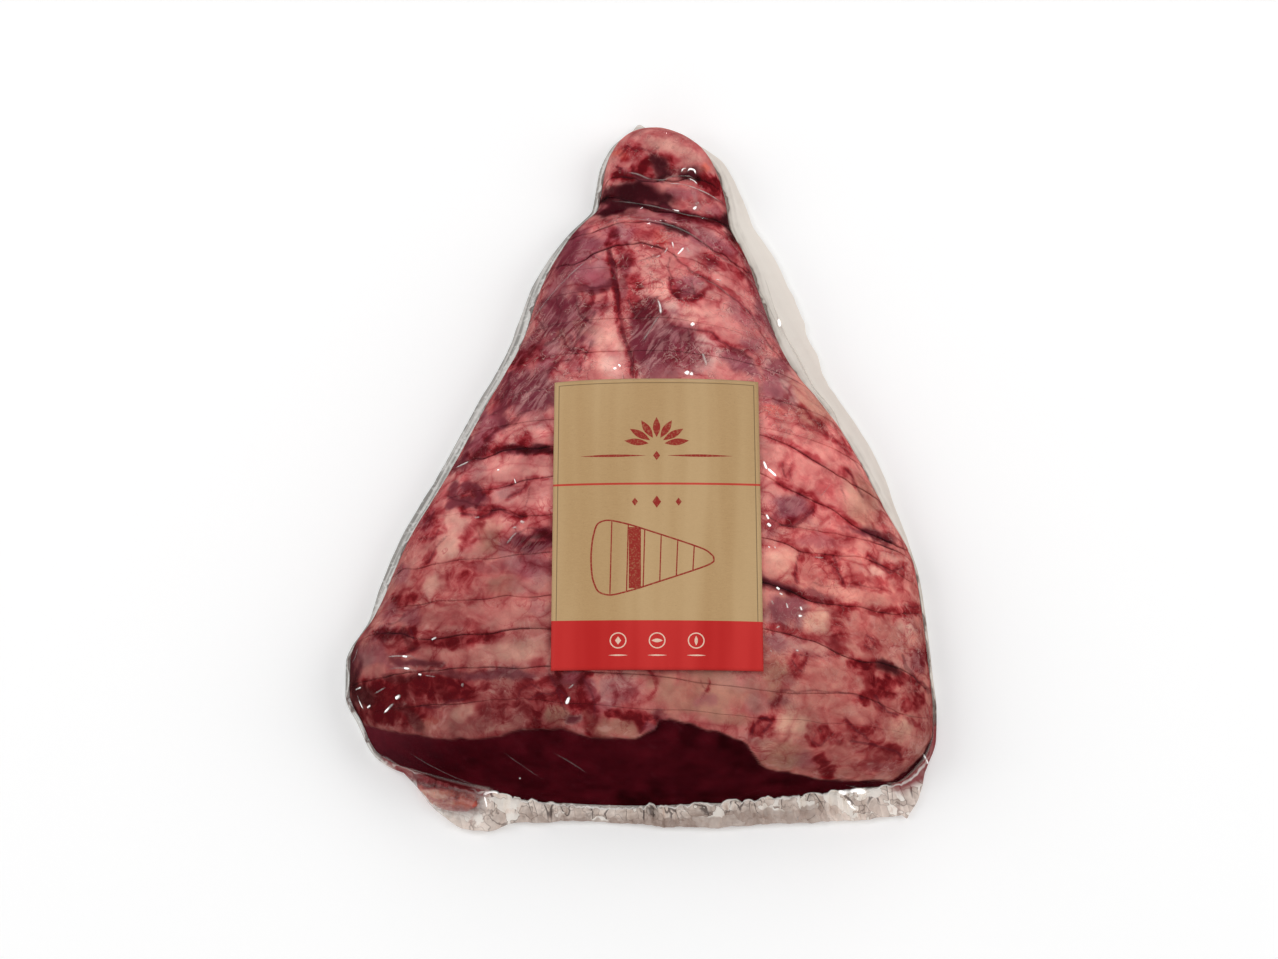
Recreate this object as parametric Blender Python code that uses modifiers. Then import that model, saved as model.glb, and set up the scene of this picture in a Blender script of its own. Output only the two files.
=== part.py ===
"""Sliced beef rump cap in a clear vacuum pouch, with a paper label on its upper side.

The pack lies flat with the fat cap up. +X is its right side and +Y runs to the narrow tip.
The origin is the middle of its box, on the surface that it lies on. Lengths are in metres.
"""

import math

import bmesh
import bpy
from mathutils import Vector, noise

MM = 0.001

# Thickness of each slice along the middle of the pack, from the tip to the thick end, in millimetres.
SLICES = (
    26, 11.3, 10.9, 10.7, 9.7, 10, 13.2, 14.3, 14.2, 13.1,
    13.1, 13.3, 13.6, 14.2, 15.5, 15.1, 13, 13, 13.7,
)

# Cross sections of the wrapped meat, in millimetres. "Along" runs over the upper side, from the foot
# of the tip to the foot of the thick end. Each section bends from its left end over the crown to its
# right end.
SECTIONS = (
    # along, crown y, crown z, left x, left y, right x, right y
    (0, 138.4, 4, -5, 137, 17, 136.5),
    (5, 138, 10, -7.5, 134.5, 20.5, 134),
    (13, 135, 18, -10.5, 129.5, 25, 129.5),
    (22, 129, 22.5, -13, 123.5, 29.5, 124),
    (38, 113, 21.5, -15.3, 110, 34.3, 108),
    (49.7, 101.3, 19, -16.5, 105, 35.5, 99),
    (60.6, 90.4, 26, -27, 92.5, 43, 81),
    (81, 70, 31, -38.5, 70, 51, 55),
    (104.2, 46.8, 35, -45.5, 47, 59, 36.5),
    (132.7, 18.3, 39, -60, 18, 78, 9),
    (158.9, -7.9, 41, -73, -8, 93, -21),
    (185.8, -34.8, 43, -87.5, -35, 103.5, -44),
    (215.5, -64.5, 45, -99, -64, 106.5, -69),
    (232, -81, 46, -107.3, -80, 107.8, -86),
    (243, -92, 46, -107.3, -91.5, 108.6, -96),
    (256.6, -105.6, 46, -102.3, -103, 108.2, -108),
    (270.3, -119.3, 44, -98, -112, 105, -117),
    (277, -123, 39, -95.5, -115, 102.5, -120),
    (287, -127.5, 30, -92, -117.5, 99.5, -123),
    (300, -131.5, 17, -89, -119, 96.5, -125),
    (314, -134.2, 4, -86, -120, 93.5, -126),
)
SHOULDER = 2.5  # exponent of the rounded sections: 2 is an ellipse, more is squarer
LEFT_BEND = 2.5  # how late a section's left half bends away from the crown line
RIGHT_BEND = 1.5
TIP_END = 22  # where the rounded nose of the tip has reached the first slice's top
FOOT_FADE = 30  # stretch above the thick end's foot over which the relief dies out

# The welded rim of the pouch, as how far it stands out, in millimetres, beside each place along a side.
RIGHT_RIM = (
    (0, 1.5), (12, 3.5), (38, 7), (50, 9), (75, 12), (98, 11), (120, 9), (145, 8), (165, 5),
    (182, 1.4), (268, 1.4), (287, 6), (300, 10), (314, 14),
)
LEFT_RIM = (
    (0, 1.5), (13, 2.2), (50, 2), (80, 4), (130, 4.5), (190, 4), (225, 1.8), (270, 1.3), (300, 1.3),
    (314, 1.5),
)
NOSE_RIM = ((-5, 1.5), (-2, 3.5), (0.5, 6), (5, 2.5), (17, 2))
FOOT_RIM = (
    (-86, 1.5), (-80, 5), (-71, 11), (-55, 15), (-42, 8.5), (-15, 6), (20, 8.5), (50, 9.5),
    (75, 11), (94, 12),
)
RIM_THICKNESS = 1.2
RIM_ROOT_Z = 4  # height at which the film leaves the meat
RIM_EDGE_Z = 2.6
RIM_UNDERCUT = 1.5  # how far the film's underside runs in under the meat
REST_INSET = 7  # how far the flat underside stays inside the meat's foot

CUT_DEPTH = 1.5  # dip of the film at each knife cut
CUT_REACH = 2  # how far from the cut the dip begins
SLICE_LIP = 0.9  # each slice's tip side lies this much under its other side
LOBULE_DEPTH = 1.1
LOBULE_SIZE = 13
WAVE_HEIGHT = 0.8  # the rim's rise and fall
WAVE_SIZE = 17

# The bare lean of the last cut face lies back behind the fat's edge, between these places across it.
FACE_LEFT, FACE_RIGHT = -0.85, 0.5
FACE_RECESS = 1.8
FACE_LIP = 5

LABEL_LEFT, LABEL_RIGHT = -31.5, 44.5
LABEL_FOOT, LABEL_TOP = -95, 20
LABEL_THICKNESS = 0.5
LABEL_GAP = 0.35

ROWS_IN_SLICE = (0, 0.2, 0.5, 0.8)
ROWS_IN_FACE = (0, FACE_LIP, 14, 24, 34)
COLUMNS = 40
SHIFT = (-0.52, -0.06)  # small move that brings the middle of the box to the origin, in millimetres


def clear_scene():
    for thing in list(bpy.data.objects):
        bpy.data.objects.remove(thing)


def material(name, colour, roughness):
    made = bpy.data.materials.new(name)
    made.use_nodes = True
    shader = made.node_tree.nodes["Principled BSDF"]
    shader.inputs["Base Color"].default_value = (*colour, 1)
    shader.inputs["Roughness"].default_value = roughness
    shader.inputs["Metallic"].default_value = 0
    return made


def smooth(points, at, column=1):
    """The value at a place, on a curve through the points that doesn't overshoot them."""
    if at <= points[0][0]:
        return points[0][column]
    if at >= points[-1][0]:
        return points[-1][column]
    last = len(points) - 1
    i = next(k for k in range(last) if points[k + 1][0] >= at)

    def rise(k):
        return (points[k + 1][column] - points[k][column]) / (points[k + 1][0] - points[k][0])

    def slope(k):
        if k in (0, last):
            return rise(min(k, last - 1))
        before, after = rise(k - 1), rise(k)
        return 0 if before * after <= 0 else 2 * before * after / (before + after)

    span = points[i + 1][0] - points[i][0]
    t = (at - points[i][0]) / span
    start, end = points[i][column], points[i + 1][column]
    return (
        start * (1 + 2 * t) * (1 - t) ** 2
        + end * t * t * (3 - 2 * t)
        + span * t * (1 - t) * (slope(i) * (1 - t) - slope(i + 1) * t)
    )


def section(along):
    """Crown y and z, and the x and y of both ends, of the cross section at a place along the pack."""
    return [smooth(SECTIONS, along, column) for column in range(1, 7)]


def envelope(along, across):
    """Point of the smooth outer skin. Across runs from -1 at the left foot over the crown to 1."""
    crown_y, crown_z, left_x, left_y, right_x, right_y = section(along)
    middle_x = (left_x + right_x) / 2
    angle = abs(across) * math.pi / 2
    out = math.sin(angle) ** (2 / SHOULDER)
    up = max(0, math.cos(angle)) ** (2 / SHOULDER)
    if across < 0:
        end_x, end_y, bend = left_x, left_y, LEFT_BEND
    else:
        end_x, end_y, bend = right_x, right_y, RIGHT_BEND
    return Vector((
        middle_x + (end_x - middle_x) * out,
        crown_y + (end_y - crown_y) * out**bend,
        RIM_ROOT_Z + (crown_z - RIM_ROOT_Z) * up,
    ))


def crown_height(x, y):
    """Height of the smooth skin over a point of the plan."""
    along = SECTIONS[0][1] - y
    for _ in range(12):
        crown_y, crown_z, left_x, left_y, right_x, right_y = section(along)
        middle_x = (left_x + right_x) / 2
        end_x, end_y, bend = (left_x, left_y, LEFT_BEND) if x < middle_x else (right_x, right_y, RIGHT_BEND)
        out = min(1, (x - middle_x) / (end_x - middle_x))
        along += crown_y + (end_y - crown_y) * out**bend - y
    return RIM_ROOT_Z + (crown_z - RIM_ROOT_Z) * (1 - out**SHOULDER) ** (1 / SHOULDER)


def cuts():
    """Where the knife cuts lie along the pack, with both ends of the row of slices."""
    first = SECTIONS[3][0] - 9.6
    places = [first]
    for thickness in SLICES:
        places.append(places[-1] + thickness)
    return places


def slice_relief(along, across):
    """How far the slices' steps, the cuts between them and the bare last face lie under the smooth skin."""
    places = cuts()
    if along < places[0]:
        return 0
    if along > places[-1]:
        beside = min(1, max(0, 8 * min(across - FACE_LEFT, FACE_RIGHT - across)))
        return FACE_RECESS * beside * min(1, (along - places[-1]) / FACE_LIP)
    k = next(n for n in range(len(SLICES)) if places[n + 1] >= along)
    nearest = min(along - places[k], places[k + 1] - along)
    step = SLICE_LIP * (places[k + 1] - along) / SLICES[k]
    return step + CUT_DEPTH * max(0, 1 - nearest / CUT_REACH)


def skin(along, across):
    """Point of the wrapped meat's surface: the smooth skin, let in for the slices and the fat's lobules."""
    point = envelope(along, across)
    _, crown_z, left_x, _, right_x, _ = section(along)
    heart = Vector(((left_x + right_x) / 2, point.y, crown_z * 0.3))
    inwards = (heart - point).normalized()
    lobule = LOBULE_DEPTH * (0.5 + 0.5 * noise.noise(point / LOBULE_SIZE))
    fade = min(1, 4 * (1 - abs(across)), along / TIP_END, (SECTIONS[-1][0] - along) / FOOT_FADE)
    return point + inwards * (slice_relief(along, across) + lobule) * fade


def rows():
    """The places along the pack where the surface has a row of points."""
    places = cuts()
    nose = [SECTIONS[k][0] for k in range(3)]
    body = [places[k] + part * SLICES[k] for k in range(len(SLICES)) for part in ROWS_IN_SLICE]
    face = [places[-1] + step for step in ROWS_IN_FACE]
    return nose + [along for along in body if along > nose[-1] + 2] + face + [SECTIONS[-1][0]]


class FootPoint:
    """A place on the foot line, which the rim leaves sideways, lengthways or, at a corner, between them."""

    def __init__(self, along, across, on_side, on_end):
        self.along, self.across = along, across
        self.on_side, self.on_end = on_side, on_end
        self.point = envelope(along, across)

    def away_from(self, before, after):
        """Level direction across a stretch of the skin, pointing out of the pack."""
        run = after - before
        away = Vector((-run.y, run.x, 0)).normalized()
        heart = Vector((0, -40, 0))
        return away if away.dot(self.point - heart) > 0 else -away

    def away(self):
        total = Vector((0, 0, 0))
        if self.on_side:
            before = envelope(max(0, self.along - 1.5), self.across)
            total += self.away_from(before, envelope(self.along + 1.5, self.across))
        if self.on_end:
            before = envelope(self.along, max(-1, self.across - 0.03))
            total += self.away_from(before, envelope(self.along, min(1, self.across + 0.03)))
        return total.normalized()

    def at(self, out, z):
        level = self.point + self.away() * out
        return Vector((level.x, level.y, z))

    def rim_edge(self):
        if self.on_side:
            width = smooth(LEFT_RIM if self.across < 0 else RIGHT_RIM, self.along)
        else:
            width = smooth(NOSE_RIM if self.along < TIP_END else FOOT_RIM, self.point.x)
        edge = self.at(width, RIM_EDGE_Z)
        edge.z += WAVE_HEIGHT * noise.noise(Vector((edge.x / WAVE_SIZE, edge.y / WAVE_SIZE, 5)))
        return edge


def placed(point):
    return Vector((point.x + SHIFT[0], point.y + SHIFT[1], point.z)) * MM


def extrude_ring(mesh, feet, move):
    """Extrudes the open edge of the mesh and moves each new point, which keeps its place on the foot line."""
    ring = [edge for edge in mesh.edges if edge.is_boundary]
    fresh = bmesh.ops.extrude_edge_only(mesh, edges=ring)["geom"]
    grown = {}
    for vertex in (item for item in fresh if isinstance(item, bmesh.types.BMVert)):
        source = next(e.other_vert(vertex) for e in vertex.link_edges if e.other_vert(vertex) in feet)
        grown[vertex] = feet[source]
        vertex.co = placed(move(feet[source]))
    return grown


def make_pouch():
    """The filled pouch: a grid bent over the meat, its outermost cells being the rim, closed underneath."""
    lines = rows()
    last_row, last_column = len(lines) + 1, COLUMNS + 2
    bpy.ops.mesh.primitive_grid_add(x_subdivisions=last_column, y_subdivisions=last_row, size=2)
    pouch = bpy.context.object
    pouch.name = pouch.data.name = "pouch"
    mesh = bmesh.new()
    mesh.from_mesh(pouch.data)
    feet = {}
    for vertex in mesh.verts:
        column = round((vertex.co.x + 1) / 2 * last_column)
        row = round((1 - vertex.co.y) / 2 * last_row)
        along = lines[min(max(row - 1, 0), len(lines) - 1)]
        across = 2 * (min(max(column, 1), last_column - 1) - 1) / COLUMNS - 1
        if vertex.is_boundary:
            feet[vertex] = FootPoint(along, across, column in (0, last_column), row in (0, last_row))
            vertex.co = placed(feet[vertex].rim_edge())
        else:
            vertex.co = placed(skin(along, across))
    feet = extrude_ring(mesh, feet, lambda foot: foot.rim_edge() - Vector((0, 0, RIM_THICKNESS)))
    feet = extrude_ring(mesh, feet, lambda foot: foot.at(-RIM_UNDERCUT, RIM_EDGE_Z - RIM_THICKNESS))
    feet = extrude_ring(mesh, feet, lambda foot: foot.at(-REST_INSET, 0))
    bmesh.ops.contextual_create(mesh, geom=[edge for edge in mesh.edges if edge.is_boundary])
    bmesh.ops.recalc_face_normals(mesh, faces=mesh.faces)
    mesh.to_mesh(pouch.data)
    mesh.free()
    pouch.data.shade_smooth()
    pouch.data.set_sharp_from_angle(angle=math.radians(50))
    pouch.data.materials.append(material("wrapped meat", (0.52, 0.15, 0.15), 0.25))
    return pouch


def make_label():
    """The paper label: a flat sheet that follows the crown of the pack, just clear of the film."""
    width, length = LABEL_RIGHT - LABEL_LEFT, LABEL_TOP - LABEL_FOOT
    bpy.ops.mesh.primitive_grid_add(x_subdivisions=12, y_subdivisions=18, size=1)
    label = bpy.context.object
    label.name = label.data.name = "label"
    for vertex in label.data.vertices:
        x = LABEL_LEFT + (vertex.co.x + 0.5) * width
        y = LABEL_FOOT + (vertex.co.y + 0.5) * length
        vertex.co = placed(Vector((x, y, crown_height(x, y) + LABEL_GAP)))
    paper = label.modifiers.new("paper", "SOLIDIFY")
    paper.thickness = LABEL_THICKNESS * MM
    paper.offset = 1
    label.data.materials.append(material("kraft paper", (0.50, 0.33, 0.19), 0.55))
    return label


def main():
    clear_scene()
    pack = bpy.data.collections.new("vacuum packed sliced rump cap")
    bpy.context.scene.collection.children.link(pack)
    for piece in (make_pouch(), make_label()):
        for holder in list(piece.users_collection):
            holder.objects.unlink(piece)
        pack.objects.link(piece)


main()
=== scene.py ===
# %% [markdown]
# # A vacuum packed, sliced rump cap
# The real thing is a whole piece of raw beef with its fat side up. It was cut across into nineteen slices,
# which keep the shape of the whole, drawn tight in clear film and marked with a kraft paper label.
# The solids of the pack are loaded first. They give the size and the place of everything
# that is modelled here, so nothing has to be fitted by eye afterwards.

# %% Load the solids
import itertools
import math

import bpy
import numpy as np
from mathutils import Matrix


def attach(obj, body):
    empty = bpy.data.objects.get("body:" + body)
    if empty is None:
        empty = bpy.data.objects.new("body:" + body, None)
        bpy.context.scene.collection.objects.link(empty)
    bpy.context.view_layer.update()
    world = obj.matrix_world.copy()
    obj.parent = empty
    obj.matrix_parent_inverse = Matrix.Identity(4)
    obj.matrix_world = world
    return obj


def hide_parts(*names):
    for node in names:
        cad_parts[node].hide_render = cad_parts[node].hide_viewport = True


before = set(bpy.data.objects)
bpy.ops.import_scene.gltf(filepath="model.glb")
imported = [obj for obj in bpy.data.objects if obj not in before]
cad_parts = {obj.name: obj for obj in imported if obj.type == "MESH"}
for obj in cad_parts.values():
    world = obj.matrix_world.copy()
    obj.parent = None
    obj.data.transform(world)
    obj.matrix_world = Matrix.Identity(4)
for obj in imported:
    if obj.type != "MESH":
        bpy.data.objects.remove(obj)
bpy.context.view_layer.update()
bpy.context.scene.view_settings.view_transform = "Standard"

# %% [markdown]
# ## Where the photograph's camera stood
# The meat's colours follow the photograph, so each point of the skin has to know where it shows there.
# That could be painted by hand on an unwrapped map. Here the camera is described by a few numbers
# instead, and every feature is named by the pixel at which it shows. A point asks for its own pixel once, when
# the mesh is made. The colour then stays on the meat from whichever side it is looked at.

# %% The camera in millimetres and pixels
MM = 0.001
SHIFT = (-0.52, -0.06)
PHOTO_WIDE, PHOTO_TALL = 1278, 959
ELEVATION = math.radians(70)
DISTANCE = 1100
MM_PER_PIXEL = 0.375
AIM = (0, -13, 20)


def pixel(points):
    """Where points of the pack, in millimetres, show in the photograph."""
    x = points[:, 0] - AIM[0]
    y = points[:, 1] - AIM[1]
    z = points[:, 2] - AIM[2]
    depth = DISTANCE + y * math.cos(ELEVATION) - z * math.sin(ELEVATION)
    scale = DISTANCE / MM_PER_PIXEL / depth
    height = y * math.sin(ELEVATION) + z * math.cos(ELEVATION)
    return PHOTO_WIDE / 2 + scale * x, PHOTO_TALL / 2 - scale * height


print("the aim shows at", pixel(np.array([AIM], float)))

# %% [markdown]
# ## The form that all pieces share
# The meat, the film and the label follow one rounded, triangular form. It is described by cross sections from
# the narrow tip to the thick end, each bent from its left foot over the crown to its right foot. A curve
# that never overshoots runs through each column of the table. The solids were made from the same table.

# %% The sections of the pack
SECTIONS = np.array((
    # along, crown y, crown z, left x, left y, right x, right y
    (0, 138.4, 4, -5, 137, 17, 136.5),
    (5, 138, 10, -7.5, 134.5, 20.5, 134),
    (13, 135, 18, -10.5, 129.5, 25, 129.5),
    (22, 129, 22.5, -13, 123.5, 29.5, 124),
    (38, 113, 21.5, -15.3, 110, 34.3, 108),
    (49.7, 101.3, 19, -16.5, 105, 35.5, 99),
    (60.6, 90.4, 26, -27, 92.5, 43, 81),
    (81, 70, 31, -38.5, 70, 51, 55),
    (104.2, 46.8, 35, -45.5, 47, 59, 36.5),
    (132.7, 18.3, 39, -60, 18, 78, 9),
    (158.9, -7.9, 41, -73, -8, 93, -21),
    (185.8, -34.8, 43, -87.5, -35, 103.5, -44),
    (215.5, -64.5, 45, -99, -64, 106.5, -69),
    (232, -81, 46, -107.3, -80, 107.8, -86),
    (243, -92, 46, -107.3, -91.5, 108.6, -96),
    (256.6, -105.6, 46, -102.3, -103, 108.2, -108),
    (270.3, -119.3, 44, -98, -112, 105, -117),
    (277, -123, 39, -95.5, -115, 102.5, -120),
    (287, -127.5, 30, -92, -117.5, 99.5, -123),
    (300, -131.5, 17, -89, -119, 96.5, -125),
    (314, -134.2, 4, -86, -120, 93.5, -126),
))
SLICES = (
    26, 11.3, 10.9, 10.7, 9.7, 10, 13.2, 14.3, 14.2, 13.1,
    13.1, 13.3, 13.6, 14.2, 15.5, 15.1, 13, 13, 13.7,
)
SHOULDER = 2.5
LEFT_BEND, RIGHT_BEND = 2.5, 1.5
FOOT_Z = 4
FIRST_CUT = 12.4
CUTS = FIRST_CUT + np.concatenate(([0], np.cumsum(SLICES)))
LENGTH = SECTIONS[-1, 0]


def curve(table, at, column=1):
    """Values on a smooth curve through a table's rows that doesn't overshoot them."""
    table = np.asarray(table, float)
    x, y = table[:, 0], table[:, column]
    rise = np.diff(y) / np.diff(x)
    before, after = rise[:-1], rise[1:]
    both = np.where(before * after > 0, before + after, 1)
    inner = np.where(before * after > 0, 2 * before * after / both, 0)
    slope = np.concatenate((rise[:1], inner, rise[-1:]))
    at = np.clip(at, x[0], x[-1])
    i = np.clip(np.searchsorted(x, at) - 1, 0, len(x) - 2)
    span = x[i + 1] - x[i]
    t = (at - x[i]) / span
    return (
        y[i] * (1 + 2 * t) * (1 - t) ** 2
        + y[i + 1] * t * t * (3 - 2 * t)
        + span * t * (1 - t) * (slope[i] * (1 - t) - slope[i + 1] * t)
    )


def envelope(along, across):
    """Points of the smooth outer form. Across runs from -1 at the left foot to 1 at the right foot."""
    crown_y, crown_z, left_x, left_y, right_x, right_y = (curve(SECTIONS, along, c) for c in range(1, 7))
    middle = (left_x + right_x) / 2
    angle = np.abs(across) * math.pi / 2
    out = np.sin(angle) ** (2 / SHOULDER)
    up = np.clip(np.cos(angle), 0, 1) ** (2 / SHOULDER)
    left = across < 0
    end_x = np.where(left, left_x, right_x)
    end_y = np.where(left, left_y, right_y)
    bend = np.where(left, LEFT_BEND, RIGHT_BEND)
    return np.stack((
        middle + (end_x - middle) * out,
        crown_y + (end_y - crown_y) * out**bend,
        FOOT_Z + (crown_z - FOOT_Z) * up,
    ), axis=1)


def inwards(along, points):
    """Directions from points of the skin to the heart of their cross section."""
    heart_x = (curve(SECTIONS, along, 3) + curve(SECTIONS, along, 5)) / 2
    heart_z = curve(SECTIONS, along, 2) * 0.3
    way = np.stack((heart_x - points[:, 0], np.zeros(len(points)), heart_z - points[:, 2]), axis=1)
    return way / np.linalg.norm(way, axis=1, keepdims=True)


def even_columns(along, spacing):
    """Places across a section that lie evenly along its curve, about this many millimetres apart."""
    fine = np.linspace(-1, 1, 801)
    line = envelope(np.full(801, float(along)), fine)
    run = np.concatenate(([0], np.cumsum(np.linalg.norm(np.diff(line, axis=0), axis=1))))
    count = round(run[-1] / spacing)
    return np.interp(np.linspace(0, run[-1], count + 1), run, fine)


print("cuts at", np.round(CUTS, 1), "widest section", len(even_columns(232, 1)), "mm over the top")

# %% [markdown]
# ## Two helpers for irregular things
# Nothing in meat is straight or even. A smooth random value in space makes edges wander and surfaces
# uneven. Blender has such noise in its shaders, but a mesh needs it too, so it is made here with
# numpy from a seeded table, and gives the same meat every time.

# %% Random humps and soft steps
def cloud(points, size, seed, octaves=2):
    """Smooth random values of about -1 to 1 in space, with humps about this many units apart."""
    total = np.zeros(len(points))
    for octave in range(octaves):
        lattice = np.random.default_rng(seed + octave).uniform(-1, 1, (32, 32, 32))
        at = points / size * 2**octave + 50
        cell = np.floor(at).astype(int)
        part = at - cell
        part = part * part * (3 - 2 * part)
        for corner in itertools.product((0, 1), repeat=3):
            weight = np.prod(np.where(corner, part, 1 - part), axis=1)
            i, j, k = ((cell + corner) % 32).T
            total += weight * lattice[i, j, k] / 2**octave
    return total


def step(start, end, value):
    """A soft step from 0 where the value is at the start to 1 where it is at the end."""
    t = np.clip((value - start) / (end - start), 0, 1)
    return t * t * (3 - 2 * t)


print("a step's middle", step(0, 1, 0.5))

# %% [markdown]
# ## The knife cuts
# Each cut is a straight line in the cutting plan, but the slices slid a little when the air was drawn out. So
# every cut has a small table of places where it shows, from the left foot to the right foot, and another of
# how open it is. On the real pack some cuts are dark gaps and others can hardly be seen.

# %% Where each cut runs and how open it is
CUT_PLACES = {
    1: ((-0.6, 34), (-0.1, 40), (0.05, 40), (0.25, 37), (0.6, 36)),
    2: ((-0.83, 44), (-0.23, 49), (0.08, 53), (0.6, 52)),
    3: ((-0.5, 64), (-0.24, 60), (-0.04, 60), (0.11, 62), (0.32, 66), (0.6, 67)),
    4: ((-0.5, 77), (-0.28, 73), (-0.19, 71), (-0.07, 70), (0.02, 72), (0.1, 75), (0.6, 76)),
    11: ((-0.6, 158.5), (-0.5, 156.5), (-0.3, 157), (0.2, 148), (0.31, 149.5), (0.42, 153), (0.62, 158)),
    12: ((-0.5, 173), (-0.3, 170), (0.2, 165), (0.28, 169), (0.36, 172), (0.42, 174), (0.52, 180), (0.7, 182)),
    13: ((-0.6, 181), (-0.4, 181.5), (-0.3, 185), (0.2, 182), (0.27, 186), (0.38, 186), (0.7, 185.2)),
    14: ((-0.8, 200), (-0.65, 201.5), (-0.3, 201), (0.2, 192), (0.26, 193), (0.32, 196), (0.54, 194), (0.7, 196)),
    15: ((-0.6, 217), (-0.2, 217), (0.2, 210), (0.27, 213), (0.36, 216), (0.63, 216), (0.83, 211)),
    16: ((-0.67, 227), (-0.46, 232), (-0.2, 230), (0.2, 228), (0.34, 231), (0.45, 236), (0.67, 236), (0.84, 240)),
    17: ((-0.7, 244), (-0.2, 244), (0.24, 252), (0.35, 252), (0.44, 250), (0.5, 251), (0.66, 255)),
    18: ((-0.5, 257.5), (-0.3, 256.5), (0.2, 262), (0.8, 264)),
    19: ((-0.8, 270), (0, 270.3), (0.8, 273)),
}
CUT_LOOKS = {
    1: ((-0.7, 0.2), (-0.4, 0.8), (0.3, 0.9), (0.7, 0.2)),
    2: ((-1, 0.6), (-0.8, 1), (0.7, 1.1), (1, 0.5)),
    3: ((-0.8, 0.3), (-0.4, 0.6), (0.1, 0.6), (0.6, 0.5), (0.8, 0.3)),
    4: ((-0.8, 0.4), (-0.3, 0.8), (0, 0.8), (0.08, 0.3), (0.5, 0.05)),
    7: ((-0.4, 0.1), (-0.2, 0.35), (-0.05, 0.2), (0.1, 0.05)),
    8: ((-0.4, 0.1), (-0.2, 0.4), (-0.05, 0.2), (0.1, 0.25), (0.5, 0.4), (0.8, 0.1)),
    9: ((-0.5, 0.1), (0.2, 0.1), (0.5, 0.3), (0.8, 0.1)),
    10: ((-0.6, 0.1), (-0.4, 0.3), (0.2, 0.1), (0.7, 0.4)),
    11: ((-0.7, 0.2), (-0.55, 0.9), (-0.48, 0.8), (-0.4, 1.3), (-0.28, 1.3), (0.2, 0.4), (0.4, 0.7), (0.8, 0.6)),
    12: ((-0.55, 0), (-0.45, 0.5), (-0.28, 0.6), (0.2, 0.5), (0.4, 0.6), (0.55, 0.7), (0.7, 1.2), (0.9, 0.6)),
    13: ((-0.5, 0), (-0.38, 0.6), (-0.28, 0.5), (0.2, 0.45), (0.4, 0.35), (0.55, 0.45), (0.66, 0.8), (0.8, 0.3)),
    14: ((-0.9, 0.3), (-0.8, 0.55), (-0.5, 0.45), (-0.35, 0.3), (0.2, 0.5), (0.5, 0.5), (0.8, 0.3)),
    15: ((-0.7, 0), (-0.58, 0.5), (-0.2, 0.5), (0.2, 1), (0.3, 0.8), (0.45, 0.6), (0.8, 0.5), (0.9, 0.3)),
    16: ((-0.8, 0.2), (-0.6, 0.5), (-0.46, 0.8), (-0.15, 0.8), (0.2, 0.6), (0.36, 0.55), (0.45, 0.8), (0.85, 0.55)),
    17: ((-0.8, 0.5), (-0.4, 0.7), (-0.15, 0.6), (0.2, 0.2), (0.35, 0.4), (0.5, 0.35), (0.7, 0.3)),
    18: ((-0.6, 0), (-0.53, 0.6), (-0.38, 0.5), (-0.3, 0), (0.2, 0), (1, 0)),
}
FAINT_CUT = ((-1, 0.08), (1, 0.08))
CUT_WANDER = 0.5


def cut_place(k, across):
    """How far along the pack a cut lies, at places across it."""
    if k not in CUT_PLACES:
        return np.full(len(across), CUTS[k])
    table = CUT_PLACES[k]
    foot = (-1, (table[0][1] + CUTS[k]) / 2), (1, (table[-1][1] + CUTS[k]) / 2)
    line = curve((foot[0], *table, foot[1]), across)
    noise = cloud(np.stack((across * 14, across * 0 + 9 * k, across * 0), axis=1), 1, 70, 2)
    return line + CUT_WANDER * noise


def cut_look(k, across):
    """How open a cut is at places across it: 0 is closed and 1 is a plain dark cut."""
    if k in (0, len(SLICES)):
        return np.zeros(len(across))
    return curve(CUT_LOOKS.get(k, FAINT_CUT), across)


print("cut 12 shows from", cut_place(12, np.array([-0.5, 0.7])))

# %% [markdown]
# ## Creases, seams and folds
# Besides the cuts there are seams in the fat, creases of the film that pressed into it, and small gaps between
# lobules. Each one is a short run of pixels, with how dark and deep it is.

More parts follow.
